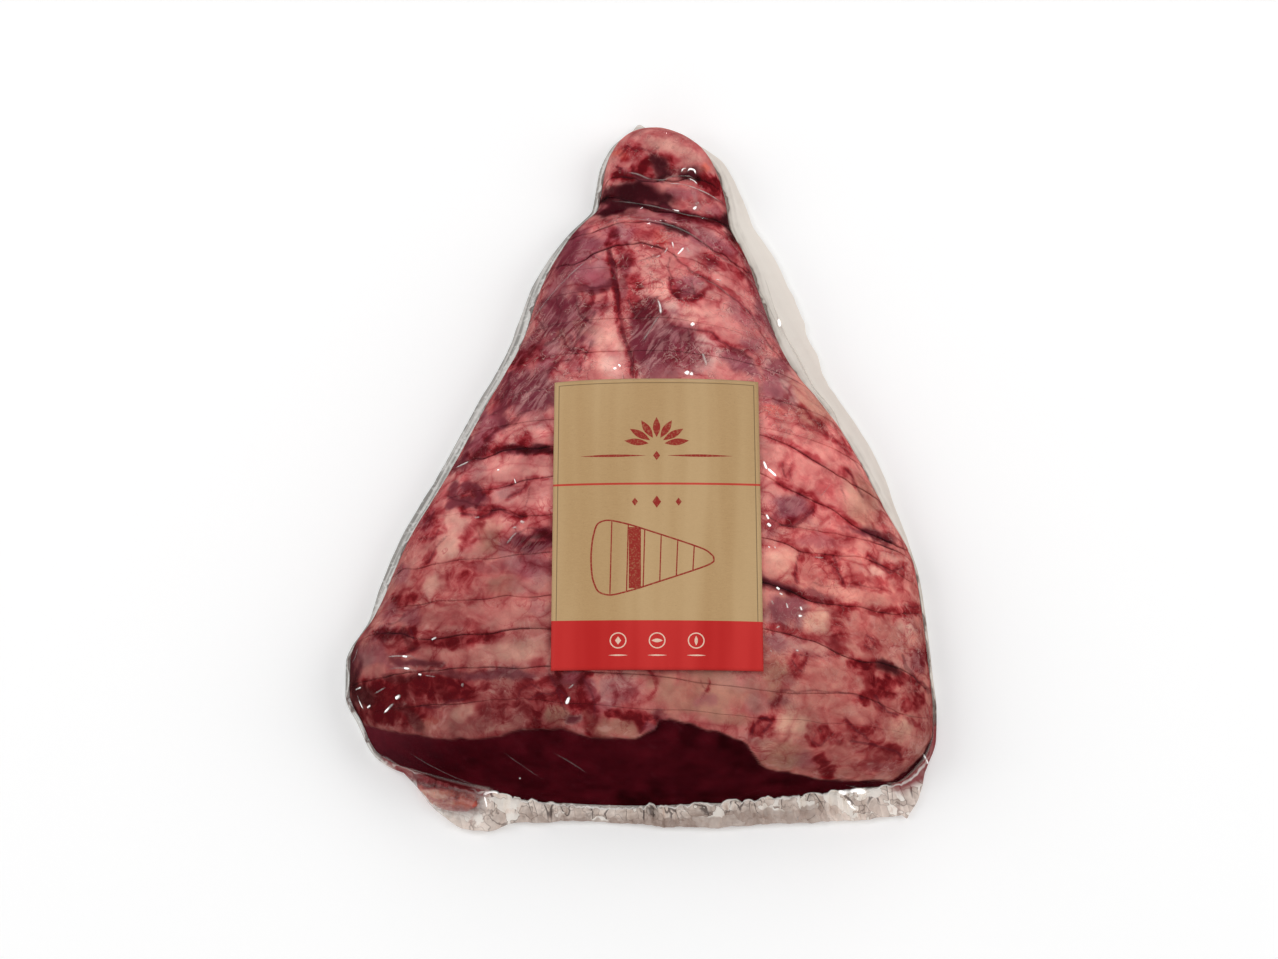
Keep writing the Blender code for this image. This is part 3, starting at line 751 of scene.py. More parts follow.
# %% Strokes finer than the patches
STROKES = (
    # colour, strength, half width in pixels, then the pixels that it runs through
    ("pink", 0.8, 4, (604, 192), (606, 176), (612, 163)),
    ("cream", 0.7, 4, (650, 140), (668, 147), (684, 152), (698, 158)),
    ("red", 0.8, 4, (627, 158), (632, 151), (639, 148)),
    ("pink", 0.6, 2.5, (622, 165), (636, 162), (649, 155)),
    ("dark", 0.7, 5, (655, 161), (662, 167), (660, 174)),
    ("dusk", 0.7, 2.5, (622, 172), (634, 175), (650, 180), (662, 181)),
    ("dark", 0.9, 3, (660, 177), (672, 174), (690, 175), (696, 179)),
    # the hollow under the tip again: dark blood, with painted shadow in it
    ("dark", 0.8, 5, (608, 195), (630, 195), (650, 197), (664, 200)),
    ("sheen_and_fibre", 0.6, 3, (694, 193), (698, 203), (694, 211)),
    ("blood", 0.8, 6, (706, 182), (712, 187), (717, 192)),
    ("dark", 0.8, 4, (604, 214), (612, 210), (624, 209), (634, 209)),
    ("dark", 0.9, 3, (598, 200), (620, 202), (645, 205), (668, 209)),
    ("maroon", 0.9, 3.5, (664, 211), (690, 217), (712, 221), (730, 221)),
    ("pink", 0.5, 3, (628, 211), (648, 214), (668, 220)),
    ("red", 0.9, 4, (682, 217), (700, 219), (720, 222)),
    ("dark", 0.8, 2.5, (662, 223), (674, 227), (688, 233)),
    ("sheen_and_fibre", 0.7, 4, (694, 226), (704, 231), (712, 236)),
    ("dark", 0.9, 4, (727, 218), (732, 228), (736, 238)),
    ("blood", 0.9, 5, (736, 232), (744, 244), (752, 258)),
    ("maroon", 0.45, 5, (756, 268), (764, 292), (770, 318), (778, 342), (790, 362)),
    ("sheen_and_fibre", 0.6, 3, (620, 226), (624, 233), (622, 240)),
    ("red", 0.9, 4, (612, 230), (613, 238)),
    ("red", 0.6, 3, (636, 232), (652, 234), (656, 242)),
    ("salmon", 0.4, 4, (656, 236), (664, 242)),
    ("blood", 0.65, 2.4, (608, 246), (612, 262), (614, 280), (618, 298), (620, 318)),
    ("blood", 0.55, 3, (621, 322), (625, 340), (630, 356), (634, 376)),
    ("red", 0.9, 5, (622, 250), (630, 256), (626, 266)),
    ("red", 0.9, 5, (628, 279), (634, 284)),
    ("red", 0.7, 4, (632, 296), (640, 304), (646, 312)),
    ("blood", 0.6, 6, (640, 312), (650, 318), (658, 314)),
    ("maroon", 0.7, 2, (638, 346), (646, 336), (655, 322)),
    ("sheen_and_fibre", 0.6, 1.5, (640, 350), (650, 334), (660, 318)),
    ("sheen_and_fibre", 0.6, 5, (660, 326), (664, 336)),
    ("maroon", 0.8, 5, (642, 352), (654, 348), (664, 342)),
    ("red", 0.8, 2.5, (671, 274), (673, 290), (682, 298), (694, 300), (704, 291), (712, 286)),
    ("red", 0.7, 2.5, (682, 334), (680, 346), (676, 358)),
    ("red", 0.7, 2.5, (690, 332), (688, 346), (686, 358)),
    ("red", 0.6, 3, (700, 330), (712, 334), (720, 343), (734, 349), (748, 353), (760, 362)),
    ("red", 0.6, 2.5, (696, 274), (710, 281), (724, 290), (738, 300), (746, 312)),
    ("red", 0.6, 3, (706, 258), (718, 263), (732, 268), (742, 276)),
    ("mauve", 0.7, 5, (728, 356), (742, 362), (754, 372)),
    ("maroon", 0.8, 4, (576, 236), (574, 248), (568, 260), (560, 270)),
    ("maroon", 0.7, 3, (580, 288), (592, 290), (606, 288), (612, 280)),
    ("red", 0.7, 2.5, (592, 294), (590, 306), (584, 318)),
    ("red", 0.7, 2.5, (604, 292), (606, 304), (602, 314)),
    ("maroon", 0.7, 3, (548, 302), (556, 310), (566, 306), (576, 298)),
    ("maroon", 0.7, 2.5, (556, 322), (566, 328), (572, 342), (574, 352)),
    ("beige", 0.7, 4, (562, 334), (564, 344)),
    ("beige", 0.6, 4, (578, 322), (582, 330)),
    ("red", 0.8, 3, (582, 350), (576, 360), (570, 370)),
    ("red", 0.8, 3, (562, 356), (556, 366), (552, 374)),
    ("blood", 0.6, 6, (514, 366), (526, 356), (538, 352)),
    ("pink", 0.6, 3, (504, 392), (507, 378), (510, 366)),
    ("maroon", 0.8, 5, (508, 378), (505, 396), (498, 412), (504, 424)),
    ("maroon", 0.7, 3, (516, 376), (520, 388), (514, 400)),
    ("red", 0.8, 3, (486, 438), (492, 433), (497, 430)),
    ("maroon", 0.7, 3, (464, 458), (467, 448), (468, 440)),
    ("red", 0.8, 3.5, (470, 457), (478, 450), (488, 452), (498, 448)),
    ("blood", 0.8, 2.5, (498, 447), (512, 446), (522, 449), (534, 452), (548, 450)),
    ("dark", 0.6, 3.5, (520, 452), (534, 449), (548, 449)),
    ("blood", 0.7, 3, (521, 442), (524, 437), (528, 435)),
    ("maroon", 0.8, 4, (453, 487), (455, 496), (450, 503), (462, 503), (476, 503)),
    ("maroon", 0.8, 4, (466, 487), (478, 490), (481, 498)),
    ("sheen_and_fibre", 0.4, 2, (458, 494), (462, 490)),
    ("red", 0.8, 3, (462, 508), (470, 513), (478, 508), (488, 510)),
    ("red", 0.7, 2, (482, 491), (494, 488), (505, 486), (520, 481)),
    ("red", 0.6, 2, (508, 498), (516, 493), (524, 489), (527, 482)),
    ("red", 0.8, 3, (494, 508), (504, 512), (514, 516), (523, 516)),
    ("red", 0.5, 2, (522, 479), (534, 478), (548, 479)),
    ("red", 0.7, 4, (432, 504), (429, 514), (433, 523)),
    ("red", 0.6, 4, (440, 512), (437, 522), (441, 530)),
    ("red", 0.6, 3, (424, 528), (428, 518)),
    ("red", 0.6, 2.5, (420, 540), (427, 538), (436, 533)),
    ("red", 0.7, 2.5, (425, 560), (430, 555), (434, 545)),
    ("red", 0.6, 4, (470, 530), (478, 522), (476, 514)),
    ("red", 0.5, 4, (462, 536), (470, 542), (464, 548)),
    ("pink", 0.5, 1.5, (518, 548), (530, 542), (544, 538)),
            ("blood", 0.5, 3, (436, 643), (455, 641), (480, 638), (500, 635)),
    ("red", 0.3, 8, (455, 568), (466, 575)),
    ("blood", 0.6, 4, (396, 598), (405, 602), (413, 596)),
    ("sheen_and_fibre", 0.4, 2, (398, 618), (408, 613), (418, 608)),
    ("blood", 0.45, 3.5, (378, 634), (392, 635), (405, 633), (412, 630)),
    ("dark", 0.35, 3, (404, 630), (408, 640), (411, 648)),
    ("blood", 0.6, 2, (414, 628), (416, 642)),
    ("maroon", 0.7, 3, (392, 660), (404, 662), (420, 663), (440, 665)),
    ("dark", 0.4, 3, (386, 676), (402, 680), (420, 676)),
    ("dark", 0.4, 4, (398, 704), (410, 714), (420, 726)),
    ("red", 0.8, 4, (516, 705), (516, 696), (520, 688), (530, 683), (542, 683), (554, 680), (566, 676)),
    ("blood", 0.5, 2.5, (524, 695), (532, 701), (540, 696), (548, 700), (557, 696), (560, 688)),
    ("blood", 0.5, 2.5, (536, 706), (538, 716), (536, 728)),
    ("blood", 0.7, 3.5, (560, 672), (575, 676), (590, 674)),
    ("blood", 0.7, 4, (582, 680), (591, 692), (594, 706), (590, 718), (592, 730)),
    ("blood", 0.6, 3, (560, 690), (566, 700), (574, 705), (584, 706)),
    ("maroon", 0.8, 3, (569, 719), (580, 718)),
    ("red", 0.6, 3, (500, 690), (506, 700), (508, 712), (504, 722)),
    ("mauve", 0.7, 5, (570, 676), (578, 673)),
    ("mauve", 0.7, 5, (590, 686), (592, 694)),
    ("beige", 0.8, 5, (586, 712), (592, 724), (600, 734)),
    ("sheen_and_fibre", 0.6, 4, (604, 684), (606, 698)),
    ("red", 0.6, 2, (612, 684), (616, 694), (612, 704)),
    ("blood", 0.8, 3, (610, 714), (625, 716), (640, 714), (655, 718)),
    ("blood", 0.7, 4, (640, 718), (644, 728)),
    ("mauve", 0.8, 4, (648, 728), (655, 730)),
    ("beige", 0.8, 5, (628, 726), (634, 734)),
    ("red", 0.5, 1.5, (649, 672), (656, 680), (656, 690), (650, 698)),
    ("red", 0.6, 1.5, (709, 680), (709, 687), (706, 692)),
    ("mauve", 0.5, 4, (696, 702), (705, 699), (712, 700)),
    ("red", 0.6, 3, (780, 692), (776, 702), (773, 713)),
    ("blood", 0.8, 2.5, (756, 723), (762, 719), (772, 718)),
    ("blood", 0.6, 4, (756, 729), (762, 733), (769, 730)),
    ("blood", 0.4, 4, (812, 728), (822, 730), (830, 735), (838, 738)),
    ("blood", 0.5, 3, (808, 736), (814, 743), (823, 737)),
    ("red", 0.7, 2, (845, 720), (850, 727), (860, 731), (867, 729)),
    ("red", 0.7, 4, (862, 739), (868, 731), (876, 727)),
    ("red", 0.7, 4, (858, 742), (876, 745), (891, 749), (903, 757)),
    ("blood", 0.5, 5, (820, 758), (825, 770), (829, 777)),
    ("red", 0.6, 2, (860, 700), (875, 706), (886, 713), (900, 716), (912, 722), (923, 729)),
    ("blood", 0.5, 5, (906, 706), (913, 702), (918, 697)),
    ("blood", 0.8, 4, (852, 662), (864, 666), (878, 668), (892, 670), (902, 678)),
    ("blood", 0.9, 5, (866, 672), (868, 684), (865, 696)),
    ("dark", 0.6, 4, (880, 664), (890, 668), (896, 672)),
    ("pink", 0.7, 2.5, (878, 673), (882, 675)),
    ("pink", 0.5, 2, (891, 675), (893, 678)),
    ("red", 0.8, 2, (903, 673), (912, 682), (922, 686), (926, 692)),
    ("red", 0.8, 3.5, (796, 656), (800, 664), (797, 673)),
    ("red", 0.7, 2.5, (804, 655), (802, 666)),
    ("red", 0.4, 4, (774, 694), (784, 685), (792, 677)),
    ("red", 0.5, 2.5, (806, 657), (820, 657), (838, 656)),
    ("red", 0.5, 5, (868, 640), (873, 646)),
    ("red", 0.6, 3.5, (770, 628), (785, 630), (800, 634), (815, 638), (826, 642), (836, 647), (852, 656)),
    ("red", 0.6, 4, (838, 606), (837, 622), (836, 640)),
    ("dark", 0.5, 3, (763, 583), (775, 586), (788, 590)),
    ("blood", 0.5, 3, (790, 591), (800, 595), (816, 600), (832, 603), (856, 608)),
    ("red", 0.9, 3.5, (872, 610), (895, 612), (915, 611)),
    ("red", 0.8, 3, (870, 558), (877, 564), (885, 568), (894, 571), (904, 564)),
    ("red", 0.6, 5, (888, 570), (894, 577), (899, 586)),
    ("red", 0.9, 2.5, (833, 560), (836, 568), (839, 577), (843, 584)),
    ("red", 0.6, 2, (840, 583), (852, 585), (866, 587), (874, 590), (890, 592)),
    ("red", 0.8, 2.5, (800, 552), (802, 558), (799, 566), (795, 575), (797, 581)),
    ("red", 0.6, 2, (785, 541), (792, 541), (798, 549), (806, 550), (813, 555), (836, 557)),
    ("red", 0.9, 3, (778, 481), (786, 485), (800, 493), (813, 499), (816, 504), (812, 511), (805, 518), (790, 522)),
    ("red", 0.8, 3, (820, 505), (832, 510), (843, 516), (853, 524), (870, 532), (888, 541)),
    ("dark", 0.6, 4, (866, 531), (876, 535), (890, 541)),
    ("red", 0.4, 2.5, (783, 463), (784, 481)),
    ("red", 0.35, 2.5, (792, 463), (790, 482)),
    ("red", 0.5, 3.5, (841, 471), (846, 473)),
    ("red", 0.7, 2, (848, 470), (853, 480), (858, 488)),
    ("red", 0.6, 3, (770, 438), (780, 440), (791, 444), (801, 452), (813, 457), (822, 462)),
    ("red", 0.7, 3, (802, 406), (812, 416), (818, 424), (830, 436), (842, 442), (851, 452)),
    ("red", 0.5, 2, (797, 424), (805, 428), (813, 430)),
    ("sheen_and_fibre", 0.6, 3, (784, 378), (788, 390), (795, 404)),
    ("pale", 0.4, 4, (874, 572), (882, 574)),
    ("pale", 0.5, 5, (903, 626), (908, 630)),
    ("blood", 0.9, 5, (414, 777), (436, 782), (458, 784), (478, 786)),
    ("salmon", 0.9, 4, (464, 791), (476, 796)),
    ("salmon", 0.6, 3, (440, 790), (452, 792)),
    ("cream", 0.9, 5, (428, 797), (440, 801), (450, 803)),
    ("red", 0.8, 1.5, (456, 800), (460, 793), (462, 788)),
)
print(len(PATCHES), "patches and", len(STROKES), "strokes")

# %% [markdown]
# ## The bare end
# The last cut leaves a dark, bare face of lean. The fat ends over it in a wavy line, and on the right it rolls
# down over the face. The line is named by its pixels, and everything below it is lean.

# %% The edge of the fat over the bare face
FACE_EDGE = np.array((
    (340, 712), (360, 722), (372, 727), (385, 730), (400, 733), (420, 735), (440, 738), (455, 739), (480, 738),
    (500, 736), (510, 732), (520, 729), (535, 728), (562, 728), (578, 733), (590, 737), (600, 738), (615, 738),
    (635, 739), (640, 736), (655, 729), (659, 720), (670, 719), (685, 722), (700, 727), (715, 731), (730, 736),
    (742, 741), (750, 748), (757, 757), (762, 766), (770, 770), (790, 772), (812, 778), (830, 780), (865, 780),
    (893, 780), (905, 772), (920, 757), (932, 738), (945, 725),
))
FIBRES = (
    # where lean with pale fibres shows: x, y, half width, half height, turn in degrees, strength
    (652, 338, 28, 38, 0, 1.0),
    (692, 348, 14, 22, 0, 0.7),
    (566, 330, 34, 36, 15, 0.8),
    (532, 392, 30, 24, -20, 1.0),
    (531, 545, 24, 10, 0, 0.45),
    (789, 506, 20, 13, 10, 0.5),
    (740, 362, 20, 12, 20, 0.5),
    (560, 270, 20, 30, 30, 0.4),
)
CALM = (
    # where the fat is smooth, with hardly any marbling
    (665, 172, 74, 46, 0, 0.75),
    (608, 345, 18, 32, 0, 0.9),
    (510, 470, 40, 12, -5, 0.6),
    (460, 530, 30, 24, 5, 0.6),
    (480, 582, 60, 18, 0, 0.8),
    (470, 616, 60, 12, 0, 0.8),
    (500, 652, 60, 12, 0, 0.7),
    (440, 688, 44, 12, 0, 1.0),
    (376, 690, 30, 46, 0, 1.0),
    (706, 696, 80, 30, 6, 0.95),
    (820, 400, 20, 40, -28, 0.7),
    (820, 470, 60, 50, 0, 0.7),
    (862, 500, 18, 28, -22, 0.7),
    (780, 560, 20, 16, 0, 0.8),
    (866, 597, 34, 8, 4, 0.5),
    (840, 715, 90, 60, 0, 0.6),
    (878, 676, 24, 16, 0, 0.8),
    (592, 272, 20, 12, 0, 0.7),
    (690, 313, 28, 8, 8, 0.5),
)


def spot(u, v, x, y, wide, tall, turn, ragged=0):
    """How much of a soft oval patch is at pixels: 1 in the middle and 0 well outside."""
    c, s = math.cos(math.radians(turn)), math.sin(math.radians(turn))
    a = (u - x) * c + (v - y) * s
    b = (v - y) * c - (u - x) * s
    return step(1.4, 0.5, np.hypot(a / wide, b / tall) + ragged)


def bare_face(points, along, soft=1.5):
    """How much a point belongs to the bare lean face: 0 on the fat and 1 on the face."""
    u, v = pixel(points)
    edge = np.interp(u, FACE_EDGE[:, 0], FACE_EDGE[:, 1])
    wander = 1.5 * cloud(points, 4, 44)
    return step(-soft, soft, v - edge + wander) * step(258, 262, along)


print("the face begins at y", FACE_EDGE[:, 1].min(), "pixels")

# %% [markdown]
# ## How deep each point lies
# The relief is the sum of small things: a rounded dip along each cut, a step from slice to slice, the fat's
# lobules, the creases, and the bare face behind the fat's edge. The meat has all of it. The film over it has
# most of it, but it can't follow a narrow cut to the bottom, and under the label it is held flat.

# %% The relief of meat and film
CUT_ROUND = 1.3
FILM_CUT_ROUND = 1.5
FILM_CUT_SHARE = 0.5
SLICE_LIP = 0.9
LOBULE_DEPTH = 1.1
FACE_RECESS = 1.8
TIP_END, FOOT_FADE = 22, 30
CREASE_DEPTH = 0.8
FILM_GAP = 0.3
LABEL_BOX = (-31.5, 44.5, -95, 20)


def cut_dip(along, across, reach):
    """How deep the cuts and the steps between slices let the skin in, and how strongly the cuts show."""
    depth = np.zeros(len(along))
    look = np.zeros(len(along))
    lip = np.zeros(len(along))
    places = [cut_place(k, across) for k in range(len(CUTS))]
    for k in range(1, len(SLICES)):
        away = np.abs(along - places[k])
        open_here = cut_look(k, across)
        near = np.clip(1 - away / reach, 0, 1)
        rounded = 1 - np.sqrt(np.clip(1 - near**2, 0, 1))
        depth = np.maximum(depth, reach * np.minimum(open_here, 1.2) * rounded)
        look = np.maximum(look, open_here * np.clip(1 - away / (0.9 + np.clip(open_here - 0.8, 0, 1) * 2), 0, 1))
        after = (along >= places[k]) & (along < places[k + 1])
        share = (places[k + 1] - along) / (places[k + 1] - places[k])
        lip = np.where(after, SLICE_LIP * np.clip(open_here, 0.05, 1) * share, lip)
    return depth, lip, look


def cut_halo(along, across):
    """How much blood has spread beside the cuts."""
    halo = np.zeros(len(along))
    for k in range(1, len(SLICES)):
        away = np.abs(along - cut_place(k, across)) / (HALO_REACH * MM_PER_PIXEL)
        halo = np.maximum(halo, np.clip(cut_look(k, across), 0, 1.2) * np.clip(1 - away, 0, 1) ** 1.3)
    return halo


def under_label(points):
    """1 under the label, fading to 0 a few millimetres outside it."""
    left, right, foot, top = LABEL_BOX
    outside = np.maximum.reduce((
        left - points[:, 0], points[:, 0] - right, foot - points[:, 1], points[:, 1] - top,
    ))
    return step(5, 0, outside)


def dressed(along, across, film):
    """Points of the meat's skin, or of the film over it, and how strongly cuts and creases show there."""
    smooth = envelope(along, across)
    way = inwards(along, smooth)
    dip, lip, cut = cut_dip(along, across, FILM_CUT_ROUND if film else CUT_ROUND)
    crease = crease_look(smooth)
    fine_relief = 0.02 if film else 0.12
    lobules = LOBULE_DEPTH * (0.5 + 0.4 * cloud(smooth, 11, 7) + fine_relief * cloud(smooth, 3.5, 8))
    lobules = lobules + 0.5 * crease_look(smooth, HALO_REACH) ** 2
    face = bare_face(smooth, along, 5 if film else 1.5)
    fade = np.minimum.reduce((
        np.ones(len(along)), 4 * (1 - np.abs(across)), along / TIP_END, (LENGTH - along) / FOOT_FADE,
    ))
    share = FILM_CUT_SHARE if film else 1
    depth = lip * (0.7 if film else 1) + lobules * (1 - 0.7 * face) + share * (dip + CREASE_DEPTH * crease**2)
    depth = depth * fade + FACE_RECESS * face * np.clip(fade * 1.5, 0, 1)
    if film:
        held = under_label(smooth)
        depth = (depth - FILM_GAP) * (1 - held) - 0.05 * held
    else:
        depth = depth + 0.6 * under_label(smooth)
    look = np.maximum(np.minimum(cut, 1.25), crease)
    look = look * np.clip(0.7 + 0.95 * cloud(smooth, 6, 9, 3), 0.1, 1.15)
    return smooth + way * depth[:, None], look


print("a cut dips the film", round(FILM_CUT_ROUND * FILM_CUT_SHARE, 2), "mm")

# %% [markdown]
# ## Painting the meat
# Each point of the meat's skin gets a colour, from the patches and strokes over a mottled ground, with painted shade
# and a painted shadow at the foot of the flanks laid on it. It also gets weights: how much blood lies on it, how
# fibrous, bare, marbled or wrinkled it is, and how much a crease line darkens it. The shader adds what is finer than
# the mesh.

# %% Colour and weights for each point
def mix(under, over, weight):
    """One colour laid over another. Roots are mixed, so that half way looks half way to the eye."""
    root = np.sqrt(under)
    return (root + (np.sqrt(over) - root) * weight[:, None]) ** 2


def lay(colour, blood, name, weight):
    """Lays a named colour, or an amount of blood, over what is there."""
    blood = blood + (BLOOD_LAYER.get(name, 0) - blood) * weight
    if name not in BLOOD_LAYER:
        colour = mix(colour, PAINT[name], weight)
    return colour, blood


def painted(points, along, across):
    """For each point of the meat: its colour with painted shade, how much blood lies on it, and how fibrous, bare or
    marbled it is.
    """
    true_u, true_v = pixel(points)
    u = true_u + 4 * cloud(points, 8, 101) + 2 * cloud(points, 2.5, 103, 3)
    v = true_v + 4 * cloud(points, 8, 105) + 2 * cloud(points, 2.5, 107, 3)
    ragged = 0.28 * cloud(points, 4.5, 108, 3)
    colour = np.tile(PAINT["pink"], (len(points), 1))
    blood = 0.08 + 0.12 * cloud(points, 14, 109) + 0.25 * step(650, 730, true_v)
    for x, y, wide, tall, turn, name, strength in PATCHES:
        weight = strength * spot(u, v, x, y, wide, tall, turn, ragged) ** (1.7 if name == "blood" else 1)
        colour, blood = lay(colour, blood, name, weight)
    u = true_u + 1.6 * cloud(points, 4, 20) + 0.9 * cloud(points, 1.8, 22)
    v = true_v + 1.6 * cloud(points, 4, 30) + 0.9 * cloud(points, 1.8, 32)
    rough = 0.3 * cloud(points, 3, 112, 2)
    for name, strength, half_width, *line in STROKES:
        near = near_line(u, v, line, 2 * half_width)
        colour, blood = lay(colour, blood, name, strength * step(0.05, 0.75, near + rough * (near > 0)))
    fat = step(0.02, 0.12, colour[:, 1])
    lumps = cloud(points, 6, 121, 3)
    colour = colour * (1 + 0.2 * lumps)[:, None]
    blood = blood + 0.25 * np.clip(cloud(points, 9, 125, 3), 0, 1) * fat
    blood = blood * (1 - 0.1 * np.maximum(step(400, 340, true_v), step(740, 790, true_u)))
    halo = np.maximum(crease_look(points, HALO_REACH) ** 1.3, cut_halo(along, across))
    blood = blood + halo * (0.42 + 0.7 * cloud(points, 6, 131, 2)).clip(0.05, 1.6)
    # Painted shade: the colour is made darker towards the bottom, on the left, at the tip and on the steep flanks, and
    # lighter on part of the right, as the light falls on the pack, with a slight shift of tint: less blue lower down
    # and on the right.
    left, right = step(600, 520, true_u), step(740, 790, true_u)
    shade = (1.08 - 0.2 * step(540, 660, true_v)) * (1 - 0.1 * left) * (1 - 0.14 * step(230, 215, true_v))
    shade = shade * (1 - 0.22 * step(650, 695, true_v) * step(640, 560, true_u))
    shade = shade * (1 - 0.15 * step(520, 560, true_v) * left) * (1 - 0.14 * step(700, 730, true_v))
    shade = shade * (1 + 0.18 * right * step(380, 430, true_v) * step(640, 590, true_v))
    shade = shade * (1 - 0.3 * step(0.6, 0.95, np.abs(across)))
    cooler = 1 - 0.06 * step(480, 600, true_v) - 0.04 * right
    painted_shade_tint = np.stack((shade * (1 - 0.04 * right), shade * (1 + 0.02 * right), shade * cooler), axis=1)
    colour = colour * painted_shade_tint
    fibres = np.zeros(len(points))
    for x, y, wide, tall, turn, strength in FIBRES:
        fibres = np.maximum(fibres, strength * spot(u, v, x, y, wide, tall, turn))
    calm = np.zeros(len(points))
    for x, y, wide, tall, turn, strength in CALM:
        calm = np.maximum(calm, strength * spot(u, v, x, y, wide, tall, turn))
    face = bare_face(points, along)
    lean = PAINT["lean"] * (1.1 + 0.5 * lumps + 0.4 * cloud(points, 18, 127, 1))[:, None]
    lean = mix(lean, PAINT["dusk"], 0.26 * step(470, 370, u + 20 * lumps))
    colour = mix(colour, lean, face)
    # Painted shadow: the lowest points of the flanks, near the floor, are darkened towards near black.
    low = step(13, 6, points[:, 2]) * step(0.88, 0.97, np.abs(across)) * 0.8
    colour = mix(colour, PAINT["dark"], low * (1 - face))
    blood = np.clip(blood, 0, 5) * (1 - face) * (1 - 0.7 * low)
    wet = step(2.4, 1.2, blood)
    wrinkle = 0.1 + 0.9 * step(470, 390, true_v) + 0.3 * right + 0.3 * step(0.55, 0.75, np.abs(across))
    wrinkle = np.clip(wrinkle, 0, 1) * (0.1 + 0.9 * step(0.01, 0.08, colour[:, 1])) * step(2.6, 1.4, blood)
    return {
        "flesh": colour, "blood": blood, "fibres": fibres * (1 - face), "face": face,
        "marble": (1 - calm) * (1 - face) * fat * wet, "line": crease_look(points, LINE_REACH) * (1 - face),
        "wrinkle": wrinkle * (1 - 0.7 * calm) * (1 - face),
    }


print("ground colour", PAINT["pink"].round(2))

# %% [markdown]
# ## Shader maths that reads like sums
# A material is a tree of nodes. Wiring it by hand takes many lines for a simple sum, so one small class wraps a
# node's output and turns Python's operators into Math nodes. Any other node comes from one method, which takes
# its type, its settings and the values of its sockets.

# %% The wrapped socket
class Wire:
    """The output of a node, which sums and products of numbers and wires can be written with."""

    def __init__(self, tree, socket):
        self.tree, self.socket = tree, socket

    def part(self, output):
        """Another output of the same node."""
        return Wire(self.tree, self.socket.node.outputs[output])

    def node(self, kind, settings=None, sockets=None, output=0):
        """Adds a node, with its settings first and then its sockets, and returns one of its outputs."""
        made = self.tree.nodes.new(kind)
        for name, value in (settings or {}).items():
            setattr(made, name, value)
        for name, value in (sockets or {}).items():
            if isinstance(value, Wire):
                self.tree.links.new(value.socket, made.inputs[name])
            else:
                made.inputs[name].default_value = value
        return Wire(self.tree, made.outputs[output])

    def maths(self, operation, first, second=0.0, clamp=False):
        settings = {"operation": operation, "use_clamp": clamp}
        return self.node("ShaderNodeMath", settings, {0: first, 1: second})

    def __add__(self, other):
        return self.maths("ADD", self, other)

    def __radd__(self, other):
        return self.maths("ADD", other, self)

    def __sub__(self, other):
        return self.maths("SUBTRACT", self, other)

    def __rsub__(self, other):
        return self.maths("SUBTRACT", other, self)

    def __mul__(self, other):
        return self.maths("MULTIPLY", self, other)

    def __rmul__(self, other):
        return self.maths("MULTIPLY", other, self)

    def __pow__(self, other):
        return self.maths("POWER", self, other)

    def __rpow__(self, other):
        return self.maths("POWER", other, self)

    def __abs__(self):
        return self.maths("ABSOLUTE", self)

    def step(self, start, end):
        """A soft step from 0 at the start to 1 at the end."""
        settings = {"interpolation_type": "SMOOTHSTEP"}
        return self.node("ShaderNodeMapRange", settings, {"Value": self, "From Min": start, "From Max": end})

    def blend(self, under, over):
        """Two colours mixed, with this wire as the share of the second."""
        return self.node("ShaderNodeMix", {"data_type": "RGBA"}, {0: self, 6: under, 7: over}, output=2)


def new_material(name):
    """An empty material, as a wire to its output node's surface that nodes can be added with."""
    made = bpy.data.materials.new(name)
    made.use_nodes = True
    made.node_tree.nodes.clear()
    made.node_tree.nodes.new("ShaderNodeOutputMaterial")
    return made, Wire(made.node_tree, None)


def finish_material(made, shader):
    """Connects a shader to the material's output."""
    output = next(n for n in made.node_tree.nodes if n.type == "OUTPUT_MATERIAL")
    made.node_tree.links.new(shader.socket, output.inputs["Surface"])
    print("material", made.name, "has", len(made.node_tree.nodes), "nodes")


def tint(name, more=1.0):
    """A palette colour for a socket, lighter or darker by a factor."""
    return (*np.clip(PAINT[name] * more, 0, 1), 1)


# %% [markdown]
# ## The finish of raw meat
# Raw fat is waxy and lets light in a little, lean is darker and wetter, and both are veined. The painted colour is
# the ground. On it lie thin red veins where a noise passes through its middle value, a fine grain, pale
# diagonal fibres on the lean, and the dark of the cuts and creases, which is partly blood and partly painted shade.
# Painted light and shade is laid on too: each lobule of fat is lighter in its middle and darker at its rim, and the
# film's fine wrinkles are pale lines beside dark ones, painted highlights and shadows.

# %% Meat material
meat, make = new_material("raw meat")
place = make.node("ShaderNodeTexCoord", output=3)
flesh = make.node("ShaderNodeAttribute", {"attribute_name": "flesh"})
crease_at = make.node("ShaderNodeAttribute", {"attribute_name": "crease"}, output=2)
fibre_at = make.node("ShaderNodeAttribute", {"attribute_name": "fibres"}, output=2)
face_at = make.node("ShaderNodeAttribute", {"attribute_name": "face"}, output=2)
marble_at = make.node("ShaderNodeAttribute", {"attribute_name": "marble"}, output=2)
blood_at = make.node("ShaderNodeAttribute", {"attribute_name": "blood"}, output=2)
line_at = make.node("ShaderNodeAttribute", {"attribute_name": "line"}, output=2)
wrinkle_at = make.node("ShaderNodeAttribute", {"attribute_name": "wrinkle"}, output=2)


def noise_wire(scale, detail, at=None, distortion=0.0):
    """A noise with about this many humps a metre."""
    sockets = {"Vector": at or place, "Scale": scale, "Detail": detail, "Roughness": 0.55, "Distortion": distortion}
    return make.node("ShaderNodeTexNoise", {}, sockets)


